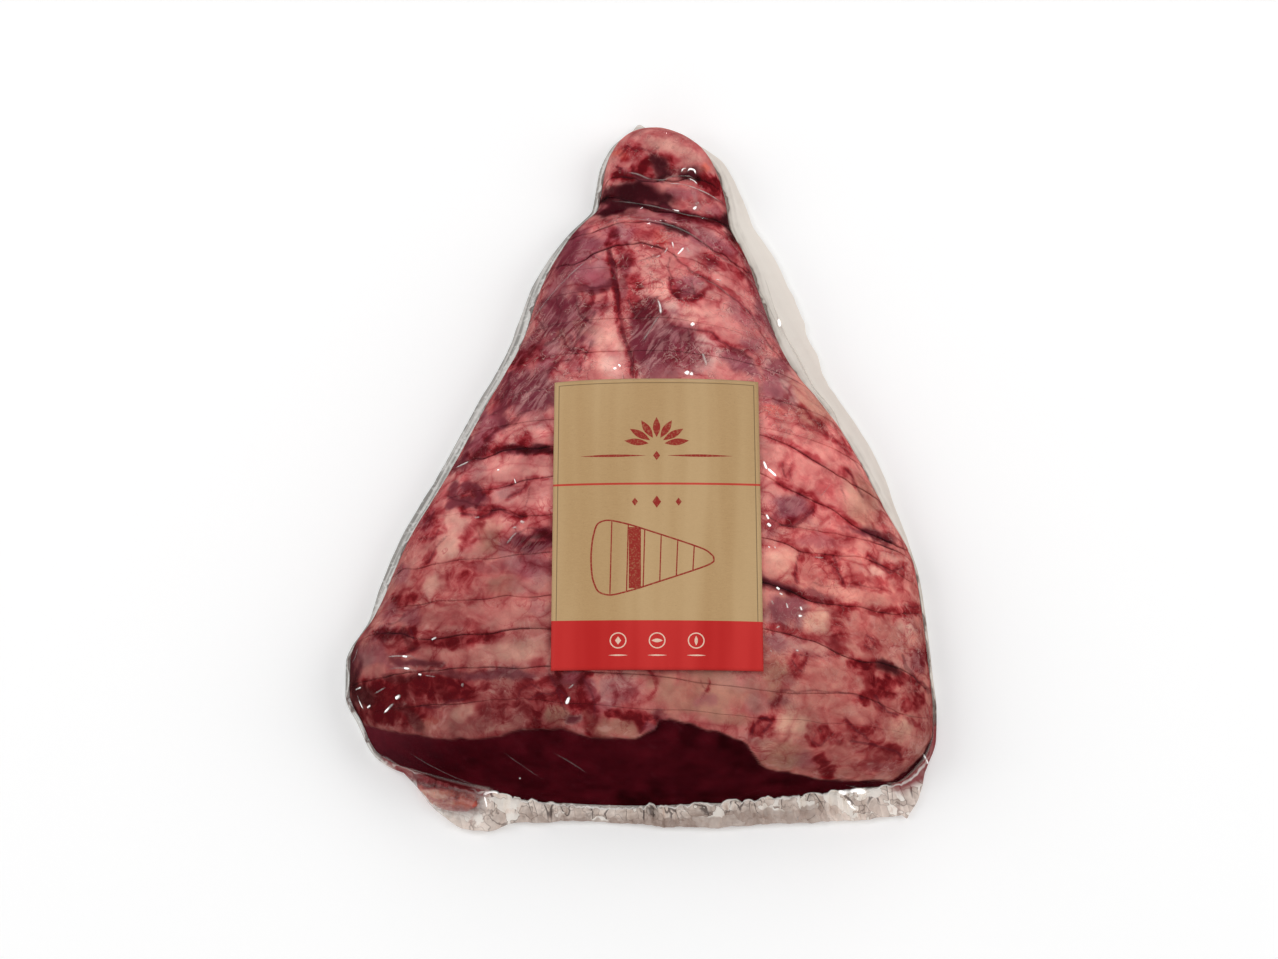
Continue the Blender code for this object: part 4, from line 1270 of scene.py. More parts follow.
mottle = noise_wire(260, 4)
grain = noise_wire(1500, 2)
vein_line = 1 - abs(noise_wire(95, 5, distortion=0.8) - 0.5).step(0.0, 0.024)
vein_where = noise_wire(45, 1).step(0.42, 0.6)
fine_line = 1 - abs(noise_wire(260, 3, distortion=0.8) - 0.5).step(0.0, 0.035)
fine_where = noise_wire(70, 1).step(0.46, 0.64)
marble_noise = noise_wire(120, 5, distortion=1.1)
red_marble = marble_noise.step(0.53, 0.66)
pale_marble = 1 - marble_noise.step(0.34, 0.46)
warp = make.node("ShaderNodeTexNoise", {}, {"Vector": place, "Scale": 100.0, "Detail": 4.0}, output=1)
warped = make.node("ShaderNodeVectorMath", {"operation": "MULTIPLY_ADD"}, {0: warp, 1: (0.009,) * 3, 2: place})
lobule_size = make.node("ShaderNodeMapping", {"vector_type": "TEXTURE"}, {
    "Vector": warped, "Rotation": (0, 0, 0), "Scale": (0.0145, 0.0095, 0.0105),
})
lobule = make.node("ShaderNodeTexVoronoi", {"feature": "DISTANCE_TO_EDGE"}, {"Vector": lobule_size, "Scale": 1.0})
lobule_where = noise_wire(36, 2).step(0.38, 0.56) * marble_at
lobule_rim = (1 - lobule.step(0.0, 0.16)) * lobule_where
lobule_gap = (1 - lobule.step(0.0, 0.045)) * lobule_where
fibre_turn = make.node("ShaderNodeMapping", {"vector_type": "TEXTURE"}, {
    "Vector": place, "Rotation": (0, 0, math.radians(52)), "Scale": (0.009, 0.0019, 0.003),
})
streaks = noise_wire(1, 4, fibre_turn, 0.5).step(0.47, 0.6)
face_turn = make.node("ShaderNodeMapping", {"vector_type": "TEXTURE"}, {
    "Vector": place, "Rotation": (0, 0, math.radians(-38)), "Scale": (0.016, 0.0022, 0.006),
})
face_streaks = noise_wire(1, 4, face_turn, 0.3).step(0.6, 0.8)
# The cut and crease lines are dark partly from blood and partly as painted shade; where a cut is wide open it is
# painted near black as the shadow in its gap.
cut_edge = crease_at + (mottle - 0.5) * 0.7 * crease_at.step(0.0, 0.15)
cut_line = cut_edge.step(0.3, 0.9)
thin_line = (line_at + (grain - 0.5) * 0.3).step(0.12, 0.5)
cut_gap_painted_shadow = cut_edge.step(0.85, 1.2)
wrinkles = noise_wire(170, 4, distortion=1.2)
wrinkle_where = noise_wire(75, 2).step(0.42, 0.56) * wrinkle_at
# Painted light and shade of the film's fine wrinkles: a dark line of painted shadow beside a pale line of painted
# highlight.
wrinkle_painted_shadow = wrinkles.step(0.47, 0.492) * (1 - wrinkles.step(0.496, 0.504)) * wrinkle_where
wrinkle_painted_highlight = wrinkles.step(0.496, 0.504) * (1 - wrinkles.step(0.512, 0.535)) * wrinkle_where

flow = noise_wire(190, 6, distortion=0.9)
soaked = blood_at * (1 + (flow.step(0.32, 0.68) - 0.5) * (1.3 - blood_at.step(1.5, 3.0) * 0.4))
soaked = soaked + lobule_rim * 0.5 + lobule_gap * 0.35 + vein_line * vein_where * marble_at * 0.6
soaked = soaked + fine_line * fine_where * marble_at * 0.4 + red_marble * marble_at * 0.3
soaked = soaked.maths("MINIMUM", soaked, 5.0)
left_red, left_green, left_blue = (math.exp(-takes) ** soaked for takes in BLOOD_TAKES)
seen_through = make.node("ShaderNodeCombineColor", {}, {0: left_red, 1: left_green, 2: left_blue})
# Besides random tone from the mottle and grain, each lobule of fat is painted lighter in its middle and darker at its
# rim, as painted shading of its dome.
shade = 1.04 + (mottle - 0.5) * 0.45 + (grain - 0.5) * 0.14 + (lobule.step(0.02, 0.3) - 0.6) * lobule_where * 0.16
shade = make.node("ShaderNodeCombineColor", {}, {0: shade, 1: shade, 2: shade})


def product(first, second):
    """Two colours multiplied, as one seen through the other."""
    return make.node("ShaderNodeMix", {"data_type": "RGBA", "blend_type": "MULTIPLY"}, {0: 1.0, 6: first, 7: second}, 2)


skin = product(product(flesh, shade), seen_through)
skin = (pale_marble * marble_at * (1 - soaked.step(0.2, 1.0)) * 0.16).blend(skin, tint("pale"))
skin = (soaked.step(1.6, 4.2) * 0.6).blend(skin, tint("blood", 0.85))
skin = (fibre_at * (1 - streaks) * 0.55).blend(skin, tint("maroon", 1.1))
skin = (fibre_at * streaks * 0.45).blend(skin, tint("sheen_and_fibre", 1.05))
skin = (face_at * face_streaks * 0.1).blend(skin, tint("dusk"))
# The wrinkles' painted shadow and painted highlight.
skin = (wrinkle_painted_shadow * 0.5).blend(skin, tint("maroon", 0.8))
skin = (wrinkle_painted_highlight * 0.36).blend(skin, tint("pale", 0.95))
# Cut and crease lines, partly blood and partly painted shade, then the painted shadow in open cuts.
skin = (cut_line * 0.5).blend(skin, tint("maroon", 0.75))
skin = (thin_line * 0.5).blend(skin, tint("maroon", 0.6))
skin = (cut_gap_painted_shadow * 0.65).blend(skin, tint("dark", 0.9))
relief = mottle + grain * 0.3 + streaks * fibre_at * 0.8 + lobule.step(0.0, 0.35) * lobule_where * 1.6
bump = make.node("ShaderNodeBump", {}, {"Strength": 0.45, "Distance": 0.0008, "Height": relief})
shader = make.node("ShaderNodeBsdfPrincipled", {}, {
    "Base Color": skin,
    "Roughness": 0.5 - cut_line * 0.15 + (grain - 0.5) * 0.2,
    "Normal": bump,
    "Specular IOR Level": 0.0,
    "Subsurface Weight": 0.04,
    "Subsurface Radius": (0.004, 0.0012, 0.0008),
    "Subsurface Scale": 0.5,
})
finish_material(meat, shader)

# %% [markdown]
# ## The slices
# Each slice is a closed slab. It starts as a grid that is bent over the form between two cuts. Its open edge is then
# extruded down to make the cut faces and once more to the flat side that it lies on, and a last face closes it.
# One bent block cut by a bisect would be quicker, but it wouldn't have the rounded edges of soft fat.

# %% Helpers for bent grids
def clear_selection():
    """Leaves edit mode and deselects everything."""
    if bpy.context.object and bpy.context.object.mode != "OBJECT":
        bpy.ops.object.mode_set(mode="OBJECT")
    bpy.ops.object.select_all(action="DESELECT")


def bent_grid(name, columns, rows):
    """A grid of points, row after row, with columns from left to right. Its points are placed afterwards."""
    clear_selection()
    bpy.ops.mesh.primitive_grid_add(x_subdivisions=columns - 1, y_subdivisions=rows - 1, size=2)
    piece = bpy.context.object
    piece.name = piece.data.name = name
    return piece


def read_points(piece):
    """A piece's points in millimetres, in the pack's own frame before its small shift."""
    flat = np.empty(len(piece.data.vertices) * 3)
    piece.data.vertices.foreach_get("co", flat)
    return flat.reshape(-1, 3) / MM - (*SHIFT, 0)


def write_points(piece, points):
    """Puts a piece's points where the table says, in millimetres."""
    piece.data.vertices.foreach_set("co", ((points + (*SHIFT, 0)) * MM).ravel())
    piece.data.update()


def extrude_open_edge(piece):
    """Extrudes the open edge without moving it, and returns the numbers of the new points."""
    before = len(piece.data.vertices)
    clear_selection()
    bpy.context.view_layer.objects.active = piece
    piece.select_set(True)
    bpy.ops.object.mode_set(mode="EDIT")
    bpy.ops.mesh.select_mode(type="EDGE")
    bpy.ops.mesh.select_all(action="DESELECT")
    bpy.ops.mesh.select_non_manifold(extend=False, use_wire=False, use_multi_face=False, use_non_contiguous=False, use_verts=False)
    bpy.ops.mesh.extrude_region_move()
    bpy.ops.object.mode_set(mode="OBJECT")
    return np.arange(before, len(piece.data.vertices))


def close_open_edge(piece):
    """Fills the open edge with one face and turns all faces outwards."""
    bpy.ops.object.mode_set(mode="EDIT")
    bpy.ops.mesh.select_mode(type="EDGE")
    bpy.ops.mesh.select_all(action="DESELECT")
    bpy.ops.mesh.select_non_manifold(extend=False, use_wire=False, use_multi_face=False, use_non_contiguous=False, use_verts=False)
    bpy.ops.mesh.edge_face_add()
    bpy.ops.mesh.select_all(action="SELECT")
    bpy.ops.mesh.normals_make_consistent(inside=False)
    bpy.ops.object.mode_set(mode="OBJECT")


def store(piece, name, values, kind="FLOAT"):
    """Keeps values for a piece's points under a name that its material can read."""
    layer = piece.data.attributes.new(name, kind, "POINT")
    layer.data.foreach_set("color" if kind == "FLOAT_COLOR" else "value", np.asarray(values, float).ravel())


def store_paint(piece, paint):
    """Keeps all that was painted for a piece's points."""
    for name, values in paint.items():
        if name == "flesh":
            store(piece, name, np.hstack((values, np.ones((len(values), 1)))), "FLOAT_COLOR")
        else:
            store(piece, name, values)


# %% Make the slices
SPACING = 0.62
EDGE_ROWS = (0, 0.25, 0.6, 1.0, 1.5)
KNIFE_GAP = 0.06
SLICE_FOOT = (1.6, 0.5)
REST_INSET = 7


def slice_rows(thickness):
    """Shares of a slice's thickness at which it has rows of points, closer at the edges."""
    edge = [e / thickness for e in EDGE_ROWS]
    count = max(2, round((thickness - 2 * EDGE_ROWS[-1]) / SPACING))
    inner = np.linspace(edge[-1], 1 - edge[-1], count + 1)[1:-1]
    return np.array(edge + list(inner) + [1 - e for e in reversed(edge)])


def make_slice(k):
    """One slice, from the nearer to the further of its two cuts."""
    thickness = SLICES[k]
    share = slice_rows(thickness)
    nose, foot = k == 0, k == len(SLICES) - 1
    widest = CUTS[k + 1] if nose else CUTS[k]
    columns = even_columns(widest, SPACING)
    across = np.tile(columns, len(share))
    start = cut_place(k, columns) + KNIFE_GAP
    end = cut_place(k + 1, columns) - KNIFE_GAP
    if nose:
        start = np.zeros(len(columns))
        share = np.concatenate((np.linspace(0, 0.9, round(36 / SPACING)), 1 - np.array(EDGE_ROWS[::-1]) / 38))
        across = np.tile(columns, len(share))
    if foot:
        end = np.full(len(columns), float(LENGTH))
        share = np.concatenate((np.array(EDGE_ROWS) / 57, np.linspace(0.04, 1, round(56 / SPACING))))
        across = np.tile(columns, len(share))
    along = (start[None, :] + share[:, None] * (end - start)[None, :]).ravel()
    points, look = dressed(along, across, film=False)
    paint = painted(points, along, across)
    piece = bent_grid(f"slice_{k + 1:02d}", len(columns), len(share))
    write_points(piece, points)
    store_paint(piece, paint)
    store(piece, "crease", look)
    middle = (points[:, 0].min() + points[:, 0].max()) / 2
    half = (points[:, 0].max() - points[:, 0].min()) / 2
    for z, inset in zip(SLICE_FOOT, (1.5, REST_INSET)):
        fresh = extrude_open_edge(piece)
        placed = read_points(piece)
        placed[fresh, 0] = middle + (placed[fresh, 0] - middle) * (1 - inset / half)
        placed[fresh, 1] = np.clip(placed[fresh, 1], -134.2 + inset, 138.4 - inset)
        placed[fresh, 2] = z
        write_points(piece, placed)
    close_open_edge(piece)
    piece.data.materials.append(meat)
    piece.data.shade_smooth()
    return piece


slices = [make_slice(k) for k in range(len(SLICES))]
print(len(slices), "slices,", sum(len(s.data.polygons) for s in slices), "faces")

# %% [markdown]
# ## The film
# The clear film is one closed bag. A grid over the whole form makes its upper side, drawn down a little into each cut.
# The open edge is extruded outwards ring by ring to make the welded rim, which is crinkled, and then under
# the meat. The rim could be a separate flange, but the real one is the same film, so it grows out of it.

# %% The rim's width and the rings
RIGHT_RIM = (
    (0, 1.5), (12, 3.5), (38, 7), (50, 9), (75, 13), (98, 12.3), (120, 8.8), (145, 7), (165, 3.8),
    (182, 1.4), (268, 1.4), (287, 6), (300, 10), (314, 14),
)
LEFT_RIM = (
    (0, 1.5), (13, 2.2), (50, 2), (80, 4), (130, 4.5), (190, 4), (225, 1.8), (270, 1.3), (300, 1.3),
    (314, 1.5),
)
NOSE_RIM = ((-5, 1.5), (-2, 3.5), (0.5, 6), (5, 2.5), (17, 2))
FOOT_RIM = (
    (-86, 1.5), (-80, 5), (-71, 11), (-55, 15), (-42, 8.5), (-15, 6), (20, 8.5), (50, 9.5),
    (75, 10.8), (94, 11.5),
)
RIM_Z = 2.4
PLEAT = 6.5
PLEAT_HEIGHT = 2.9
SCRAP_AT = (-70.5, -130)
SCRAP_TURN = math.radians(-22)
SCRAP_HALF = (12.5, 5.3, 1.7)
SCRAP_TOP = 2.6
# how much the scrap's colour is lightened, to take off the painted shade of the region around it
SCRAP_LIGHT = 1.9
RIM_RUNS = (
    # blood that has run under the rim and sheens on the foil: kind, strength, half width, then its pixels
    ("stain", 1, 6, (392, 757), (404, 768), (420, 776), (442, 780), (464, 783), (484, 789)),
    ("stain", 1, 9, (936, 734), (934, 748), (929, 760), (918, 770), (902, 780)),
    ("sheen", 0.9, 5, (832, 797), (846, 794), (862, 792), (874, 793)),
    ("sheen", 0.8, 6, (846, 806), (856, 812), (870, 806)),
    ("sheen", 0.9, 6, (903, 793), (914, 783), (923, 774)),
    ("sheen", 0.9, 5, (484, 797), (492, 792), (502, 796), (512, 800)),
    ("sheen", 0.7, 8, (446, 806), (460, 816), (474, 822)),
    ("sheen", 0.6, 6, (505, 822), (525, 820), (545, 822)),
)
RINGS = (0.1, 0.2, 0.3, 0.42, 0.54, 0.66, 0.78, 0.9, 1.0)
FILM_SPACING = 1.02


def from_scrap(points):
    """How far points are from the middle of the loose scrap of fat: 1 is just outside it."""
    x, y = points[:, 0] - SCRAP_AT[0], points[:, 1] - SCRAP_AT[1]
    c, s = math.cos(SCRAP_TURN), math.sin(SCRAP_TURN)
    return np.hypot((x * c + y * s) / (SCRAP_HALF[0] + 1.5), (y * c - x * s) / (SCRAP_HALF[1] + 1.5))


film_columns = even_columns(215, FILM_SPACING)
film_rows = np.linspace(0, LENGTH, round(LENGTH / FILM_SPACING) + 1)
across = np.tile(film_columns, len(film_rows))
along = np.repeat(film_rows, len(film_columns))
film_points, film_look = dressed(along, across, film=True)
film = bent_grid("film", len(film_columns), len(film_rows))
write_points(film, film_points)
wide, tall = len(film_columns), len(film_rows)
ring = np.concatenate((
    np.arange(wide),
    np.arange(2, tall) * wide - 1,
    np.arange(tall * wide - 1, (tall - 1) * wide - 1, -1),
    np.arange(tall - 2, 0, -1) * wide,
))
ring_number = np.full(len(film_points), -1)
ring_number[ring] = np.arange(len(ring))
print("film grid", wide, "by", tall, "with", len(ring), "points on its foot line")

# %% Which way the rim stands out
foot_line = film_points[ring, :2]
foot_along, foot_across = along[ring], across[ring]
run = np.roll(foot_line, -3, axis=0) - np.roll(foot_line, 3, axis=0)
away = np.stack((run[:, 1], -run[:, 0]), axis=1)
away = away / np.linalg.norm(away, axis=1, keepdims=True)
away *= np.sign((away * (foot_line - (0, -40))).sum(axis=1, keepdims=True))
for _ in range(12):
    away = (np.roll(away, 1, axis=0) + away * 2 + np.roll(away, -1, axis=0)) / 4
away = away / np.linalg.norm(away, axis=1, keepdims=True)
on_nose = foot_along < 0.5
on_foot = foot_along > LENGTH - 0.5
rim_width = np.where(foot_across < 0, curve(LEFT_RIM, foot_along), curve(RIGHT_RIM, foot_along))
rim_width = np.where(on_nose, curve(NOSE_RIM, foot_line[:, 0]), rim_width)
rim_width = np.where(on_foot, curve(FOOT_RIM, foot_line[:, 0]), rim_width)
for _ in range(3):
    rim_width = (np.roll(rim_width, 1) + rim_width * 2 + np.roll(rim_width, -1)) / 4
on_line = np.hstack((foot_line, np.zeros((len(ring), 1))))
rim_width = rim_width * (1 + 0.06 * cloud(on_line, 9, 210, 2))
ring_step = np.linalg.norm(np.roll(foot_line, -1, axis=0) - foot_line, axis=1)
ring_run = np.cumsum(ring_step)
pleat_phase = ring_run / PLEAT + 1.3 * cloud(on_line, 16, 220, 2)
bunched = np.where(on_foot, 1.0, 0.1) * np.clip(rim_width / 6, 0.3, 1.2)
for _ in range(8):
    bunched = (np.roll(bunched, 1) + bunched * 2 + np.roll(bunched, -1)) / 4
print("rim is", rim_width.min().round(1), "to", rim_width.max().round(1), "mm wide")

# %% Grow the rim and close the bag
store(film, "ring", ring_number)
film_edge = -np.minimum.reduce(((LENGTH - along) * 0.53, along, (1 - np.abs(across)) * 60))
film_face = bare_face(film_points, along, 6)
for k, share in enumerate(RINGS + (1.01,)):
    fresh = extrude_open_edge(film)
    placed = read_points(film)
    numbers = np.array([film.data.attributes["ring"].data[i].value for i in fresh]).round().astype(int)
    under = share > 1
    out = (rim_width * min(share, 1))[numbers]
    placed[fresh, :2] = foot_line[numbers] + away[numbers] * out[:, None]
    flat = np.hstack((placed[fresh, :2], np.full((len(fresh), 1), 3.0 * k)))
    phase = pleat_phase[numbers] + 0.5 * share * cloud(flat, 14, 225, 1)
    pleats = 1 - 2 * np.abs(phase % 1 - 0.5) * 2
    small_pleats = 1 - 2 * np.abs((phase * 2.7 + 0.3) % 1 - 0.5) * 2
    crinkle = (pleats + 0.4 * small_pleats + 0.5 - np.abs(cloud(flat, 5, 240, 2))) * PLEAT_HEIGHT / 2
    crinkle = crinkle * bunched[numbers] * (0.45 + 0.55 * math.sin(math.pi * min(share, 1) ** 0.7))
    root = FOOT_Z + (RIM_Z - FOOT_Z) * min(1, share * 1.6)
    raised = SCRAP_TOP * step(1.3, 0.5, from_scrap(placed[fresh])) * (0 if under else 1)
    placed[fresh, 2] = np.clip(root + crinkle, 0.9, 9) + raised - (0.5 if under else 0)
    write_points(film, placed)
    film_edge = np.concatenate((film_edge, out))
for z, inset in ((1.0, 1.2), (0.05, REST_INSET - 0.6)):
    fresh = extrude_open_edge(film)
    placed = read_points(film)
    numbers = np.array([film.data.attributes["ring"].data[i].value for i in fresh]).round().astype(int)
    placed[fresh, :2] = foot_line[numbers] - away[numbers] * inset
    placed[fresh, 2] = z
    write_points(film, placed)
    film_edge = np.concatenate((film_edge, np.full(len(fresh), 0.3)))
close_open_edge(film)
film.data.attributes.remove(film.data.attributes["ring"])
film_at = read_points(film)
more = len(film_at) - len(film_points)
to_scrap = from_scrap(film_at)
store(film, "edge", film_edge)
store(film, "rim", 1 - 0.8 * step(1.2, 0.7, to_scrap))
store(film, "face", np.concatenate((film_face, np.zeros(more))))
bunch = step(-112, -122, film_at[:, 1]) * np.concatenate((step(290, 300, along), np.ones(more)))
store(film, "bunch", bunch * step(0.8, 1.2, to_scrap))
film_u, film_v = pixel(film_at)
film_u = film_u + 3 * cloud(film_at, 4, 245)
for kind in ("stain", "sheen"):
    shown = np.zeros(len(film_at))
    for strength, half_width, *line in (row[1:] for row in RIM_RUNS if row[0] == kind):
        near = near_line(film_u, film_v, line, 2 * half_width)
        shown = np.maximum(shown, strength * step(0.02, 0.6, near))
    store(film, kind, shown * step(-4, 0, film_edge))
film.data.shade_smooth()
clear_selection()
film.select_set(True)
bpy.context.view_layer.objects.active = film
bpy.ops.object.shade_smooth_by_angle(angle=math.radians(38))
print("film has", len(film.data.polygons), "faces")

# %% [markdown]
# ## A loose scrap of fat
# At the lower left a small scrap of salmon coloured fat lies beside the thick end, caught under the film. A
# sphere is flattened and made uneven. It has the same finish as the rest of the meat.

# %% Scrap of fat
clear_selection()
bpy.ops.mesh.primitive_ico_sphere_add(subdivisions=5, radius=1)
scrap = bpy.context.object
scrap.name = scrap.data.name = "fat_scrap"
ball = read_points(scrap) + (*SHIFT, 0)
ball = ball * MM
lumpy = ball * (1 + 0.16 * cloud(ball * 10, 7, 250, 3))[:, None] * SCRAP_HALF
lumpy[:, 1] = lumpy[:, 1] + 0.008 * lumpy[:, 0] ** 2
lumpy[:, 2] = np.maximum(lumpy[:, 2], -1.2)
turn_c, turn_s = math.cos(SCRAP_TURN), math.sin(SCRAP_TURN)
lumpy[:, :2] = lumpy[:, :2] @ np.array(((turn_c, turn_s), (-turn_s, turn_c)))
lumpy = lumpy + (*SCRAP_AT, 2.6)
write_points(scrap, lumpy)
scrap_paint = painted(lumpy, np.full(len(lumpy), 200.0), np.zeros(len(lumpy)))
# The factor lifts off the painted shade that painted() lays on this corner of the pack.
scrap_paint["flesh"] = np.clip(scrap_paint["flesh"] * SCRAP_LIGHT, 0, 0.9)  # the thick end's shade isn't cast on it
store_paint(scrap, scrap_paint)
scrap.data.materials.append(meat)
scrap.data.shade_smooth()
print("scrap", len(scrap.data.polygons), "faces")

# %% [markdown]
# ## The finish of vacuum film
# Clear film shows only by its reflections, which are stronger at a slant, and by a milky look where it is doubled or
# crinkled, as on the rim. So the shader is see-through with a gloss laid over it by how light meets a clear
# surface, and a pale plastic takes over on the rim. Much of its light and shade is painted: the crumpled foil at the
# thick end has painted light, shade and highlights, a painted shadow runs where the film leaves the meat, white
# specks on the left rim and the cores of bright folds are painted glints, and the milky plastic glows a little.

# %% Film material
film_look_material, make = new_material("clear vacuum film")
place = make.node("ShaderNodeTexCoord", output=3)
edge_at, rim_at, face_at, bunch_at, stain_at, sheen_at, fold_glint_at, fold_shadow_at = (
    make.node("ShaderNodeAttribute", {"attribute_name": name}, output=2)
    for name in ("edge", "rim", "face", "bunch", "stain", "sheen", "fold", "dim")
)


def stretched(size, turn=0):
    """The place, so that one unit of it is this size in metres, along axes turned by so many degrees."""
    sockets = {"Vector": place, "Rotation": (0, 0, math.radians(turn)), "Scale": size}
    return make.node("ShaderNodeMapping", {"vector_type": "TEXTURE"}, sockets)


ripples = noise_wire(70, 1, distortion=0.3)
drawn = noise_wire(1, 2, stretched((0.05, 0.004, 0.01), -62), 0.3)
small = noise_wire(600, 2)
pleat = noise_wire(1, 2, stretched((0.0085, 0.035, 0.03)), 0.4)
scallops = abs(pleat - 0.5) * 11 - 0.6
wavy = noise_wire(1, 2, stretched((0.006, 0.009, 0.01)), 0.3)
edge = edge_at + scallops * bunch_at + (wavy - 0.5) * 6 * (1 - bunch_at)
on_rim = edge.step(-0.15, 0.6)
# The lip is a white line along the foil's fold, a painted highlight.
lip = edge.step(0.0, 0.3) * (1 - edge.step(0.6, 1.1)) * bunch_at
bands = noise_wire(1, 1, stretched((0.014, 0.04, 0.03), 12), 0.5) * 7
saw = make.maths("FRACT", bands)
# Dark crease lines between the pleats, painted shadow.
pleat_painted_shadow = saw.step(0.82, 0.9) * (1 - saw.step(0.95, 0.99)) * (1 - edge.step(4.0, 8.0))
crumple = noise_wire(380, 4, distortion=0.6)
broad = noise_wire(1, 1, stretched((0.016, 0.008, 0.02), -25), 0.6)
side = make.node("ShaderNodeSeparateXYZ", {}, {"Vector": place})
sway = make.node("ShaderNodeTexNoise", {}, {"Vector": place, "Scale": 260.0, "Detail": 1.0}, output=1)
plate_size = stretched((0.0075, 0.0042, 0.02), -28)
plate_at = make.node("ShaderNodeVectorMath", {"operation": "MULTIPLY_ADD"}, {0: sway, 1: (1.1, 1.1, 1.1), 2: plate_size})
plate_colour = make.node("ShaderNodeTexVoronoi", {}, {"Vector": plate_at, "Scale": 1.0}, output=1)
plate = make.node("ShaderNodeSeparateColor", {}, {"Color": plate_colour})
# Dark lines between the foil's facets, painted shadow.
rib = make.node("ShaderNodeTexVoronoi", {"feature": "DISTANCE_TO_EDGE"}, {"Vector": plate_at, "Scale": 1.0})
rib = 1 - rib.step(0.015, 0.06)
# Painted light and shade of the crumpled foil: each facet gets its own lightness, each pleat runs from light to dark,
# and the strip next to the meat is lighter.
foil_painted_shading = plate * 0.6 + saw * 0.3 + (crumple - 0.45) * 0.9 + 0.25 * (1 - edge.step(2.5, 4.0))
foil_painted_shading = foil_painted_shading + 0.32 * (1 - side.step(-0.05, -0.03)) + 0.2 * side.step(0.055, 0.07)
foil_colour = foil_painted_shading.blend((0.36, 0.26, 0.215, 1), (1.0, 0.87, 0.78, 1))
foil_colour = (pleat_painted_shadow * 0.9).blend(foil_colour, (0.08, 0.05, 0.045, 1))
foil_colour = (rib * (0.7 - plate * 0.7)).blend(foil_colour, (0.12, 0.075, 0.06, 1))
# Painted highlight: the lightest facets and the painted sheens are turned near white.
foil_painted_highlight = (plate * 0.6 + crumple * 0.4 + sheen_at * 0.22).step(0.64, 0.7)
foil_colour = (foil_painted_highlight * 0.95).blend(foil_colour, (1, 0.94, 0.87, 1))
hem = edge.step(4.4, 5.2) * side.step(-0.045, -0.02) * (1 - side.step(0.06, 0.075))
hem_colour = ((small - 0.5) * 1.2 + broad * 0.8).blend((0.32, 0.22, 0.185, 1), (0.6, 0.47, 0.4, 1))
foil_colour = (hem * 0.75).blend(foil_colour, hem_colour)
foil_colour = (lip * 0.9).blend(foil_colour, (1, 0.97, 0.93, 1))
height = ripples * 0.25 + (saw * 0.5 + broad + plate * 0.6) * bunch_at + drawn * on_rim * (1 - bunch_at) * 0.5
film_bump = make.node("ShaderNodeBump", {}, {"Strength": 0.4, "Distance": 0.0012, "Height": height})
slant = make.node("ShaderNodeFresnel", {}, {"IOR": 1.35, "Normal": film_bump})
clear = make.node("ShaderNodeBsdfTransparent", {}, {"Color": (0.985, 0.985, 0.98, 1)})
gloss = make.node("ShaderNodeBsdfPrincipled", {}, {
    "Base Color": (1, 1, 1, 1), "Metallic": 1.0, "Roughness": 0.07 + small * 0.04, "Normal": film_bump,
})
mirror = slant.maths("MINIMUM", slant, 0.016) * (1 - face_at * 0.9) + fold_glint_at * 0.03 + bunch_at * on_rim * 0.2
shiny = make.node("ShaderNodeMixShader", {}, {0: mirror, 1: clear, 2: gloss})
streak_at = make.node("ShaderNodeCombineXYZ", {}, {0: edge_at * 0.8, 1: side.part(1) * 30, 2: 0.0})
streak = noise_wire(1, 2, streak_at, 0.2)
# Painted shadow: a dark, milky line on the film where it leaves the meat.
edge_painted_shadow = edge.step(-1.0, -0.3) * (1 - edge.step(0.15, 0.8)) * (1 - bunch_at)
left_colour = streak.step(0.4, 0.62).blend((0.72, 0.7, 0.67, 1), (0.34, 0.33, 0.31, 1))
# White specks on the left rim, painted glints.
left_colour = ((small - 0.5).step(0.0, 0.2) * 0.5).blend(left_colour, (0.95, 0.94, 0.92, 1))
right_tone = (edge * 0.12 + (streak - 0.5) * 0.7 + 0.2).step(0.0, 0.7)
right_colour = right_tone.blend((0.56, 0.5, 0.44, 1), (0.88, 0.82, 0.75, 1))
milk_colour = side.step(-0.03, 0.03).blend(left_colour, right_colour)
milk_colour = (edge_painted_shadow * 0.8).blend(milk_colour, (0.14, 0.07, 0.06, 1))
milk_colour = (bunch_at * 0.95).blend(milk_colour, foil_colour)
stained = stain_at * (0.55 + broad * 0.9)
stained = stained.maths("MINIMUM", stained, 1.0)
milk_colour = (stained * (0.95 - lip * 0.6)).blend(milk_colour, (0.24, 0.012, 0.02, 1))
# Painted glint: the core of a bright fold is coloured near white.
milk_colour = fold_glint_at.step(0.3, 0.8).blend(milk_colour, (0.99, 0.95, 0.93, 1))
# Painted shadow: a dark fold is coloured near black.
milk_colour = fold_shadow_at.blend(milk_colour, (0.12, 0.07, 0.06, 1))
# Painted glint and glow: glint cores get a strong emission colour, and through the emission below the whole milky film
# glows a little.
painted_glint_and_glow = fold_glint_at.step(0.55, 0.9).blend(milk_colour, (7, 7, 7, 1))
milk = make.node("ShaderNodeBsdfPrincipled", {}, {
    "Base Color": milk_colour, "Roughness": 0.25, "Normal": film_bump, "Specular IOR Level": 0.5,
    "Emission Color": painted_glint_and_glow, "Emission Strength": 0.12,
})
milk_share = on_rim * rim_at * (0.86 + 0.1 * drawn - 0.06 * bunch_at) + edge_painted_shadow * 0.5 + fold_glint_at ** 1.5 * 0.85
milk_share = milk_share.maths("MAXIMUM", milk_share, stained * 0.8)
shader = make.node("ShaderNodeMixShader", {}, {0: milk_share, 1: shiny, 2: milk})
finish_material(film_look_material, shader)
film.data.materials.append(film_look_material)

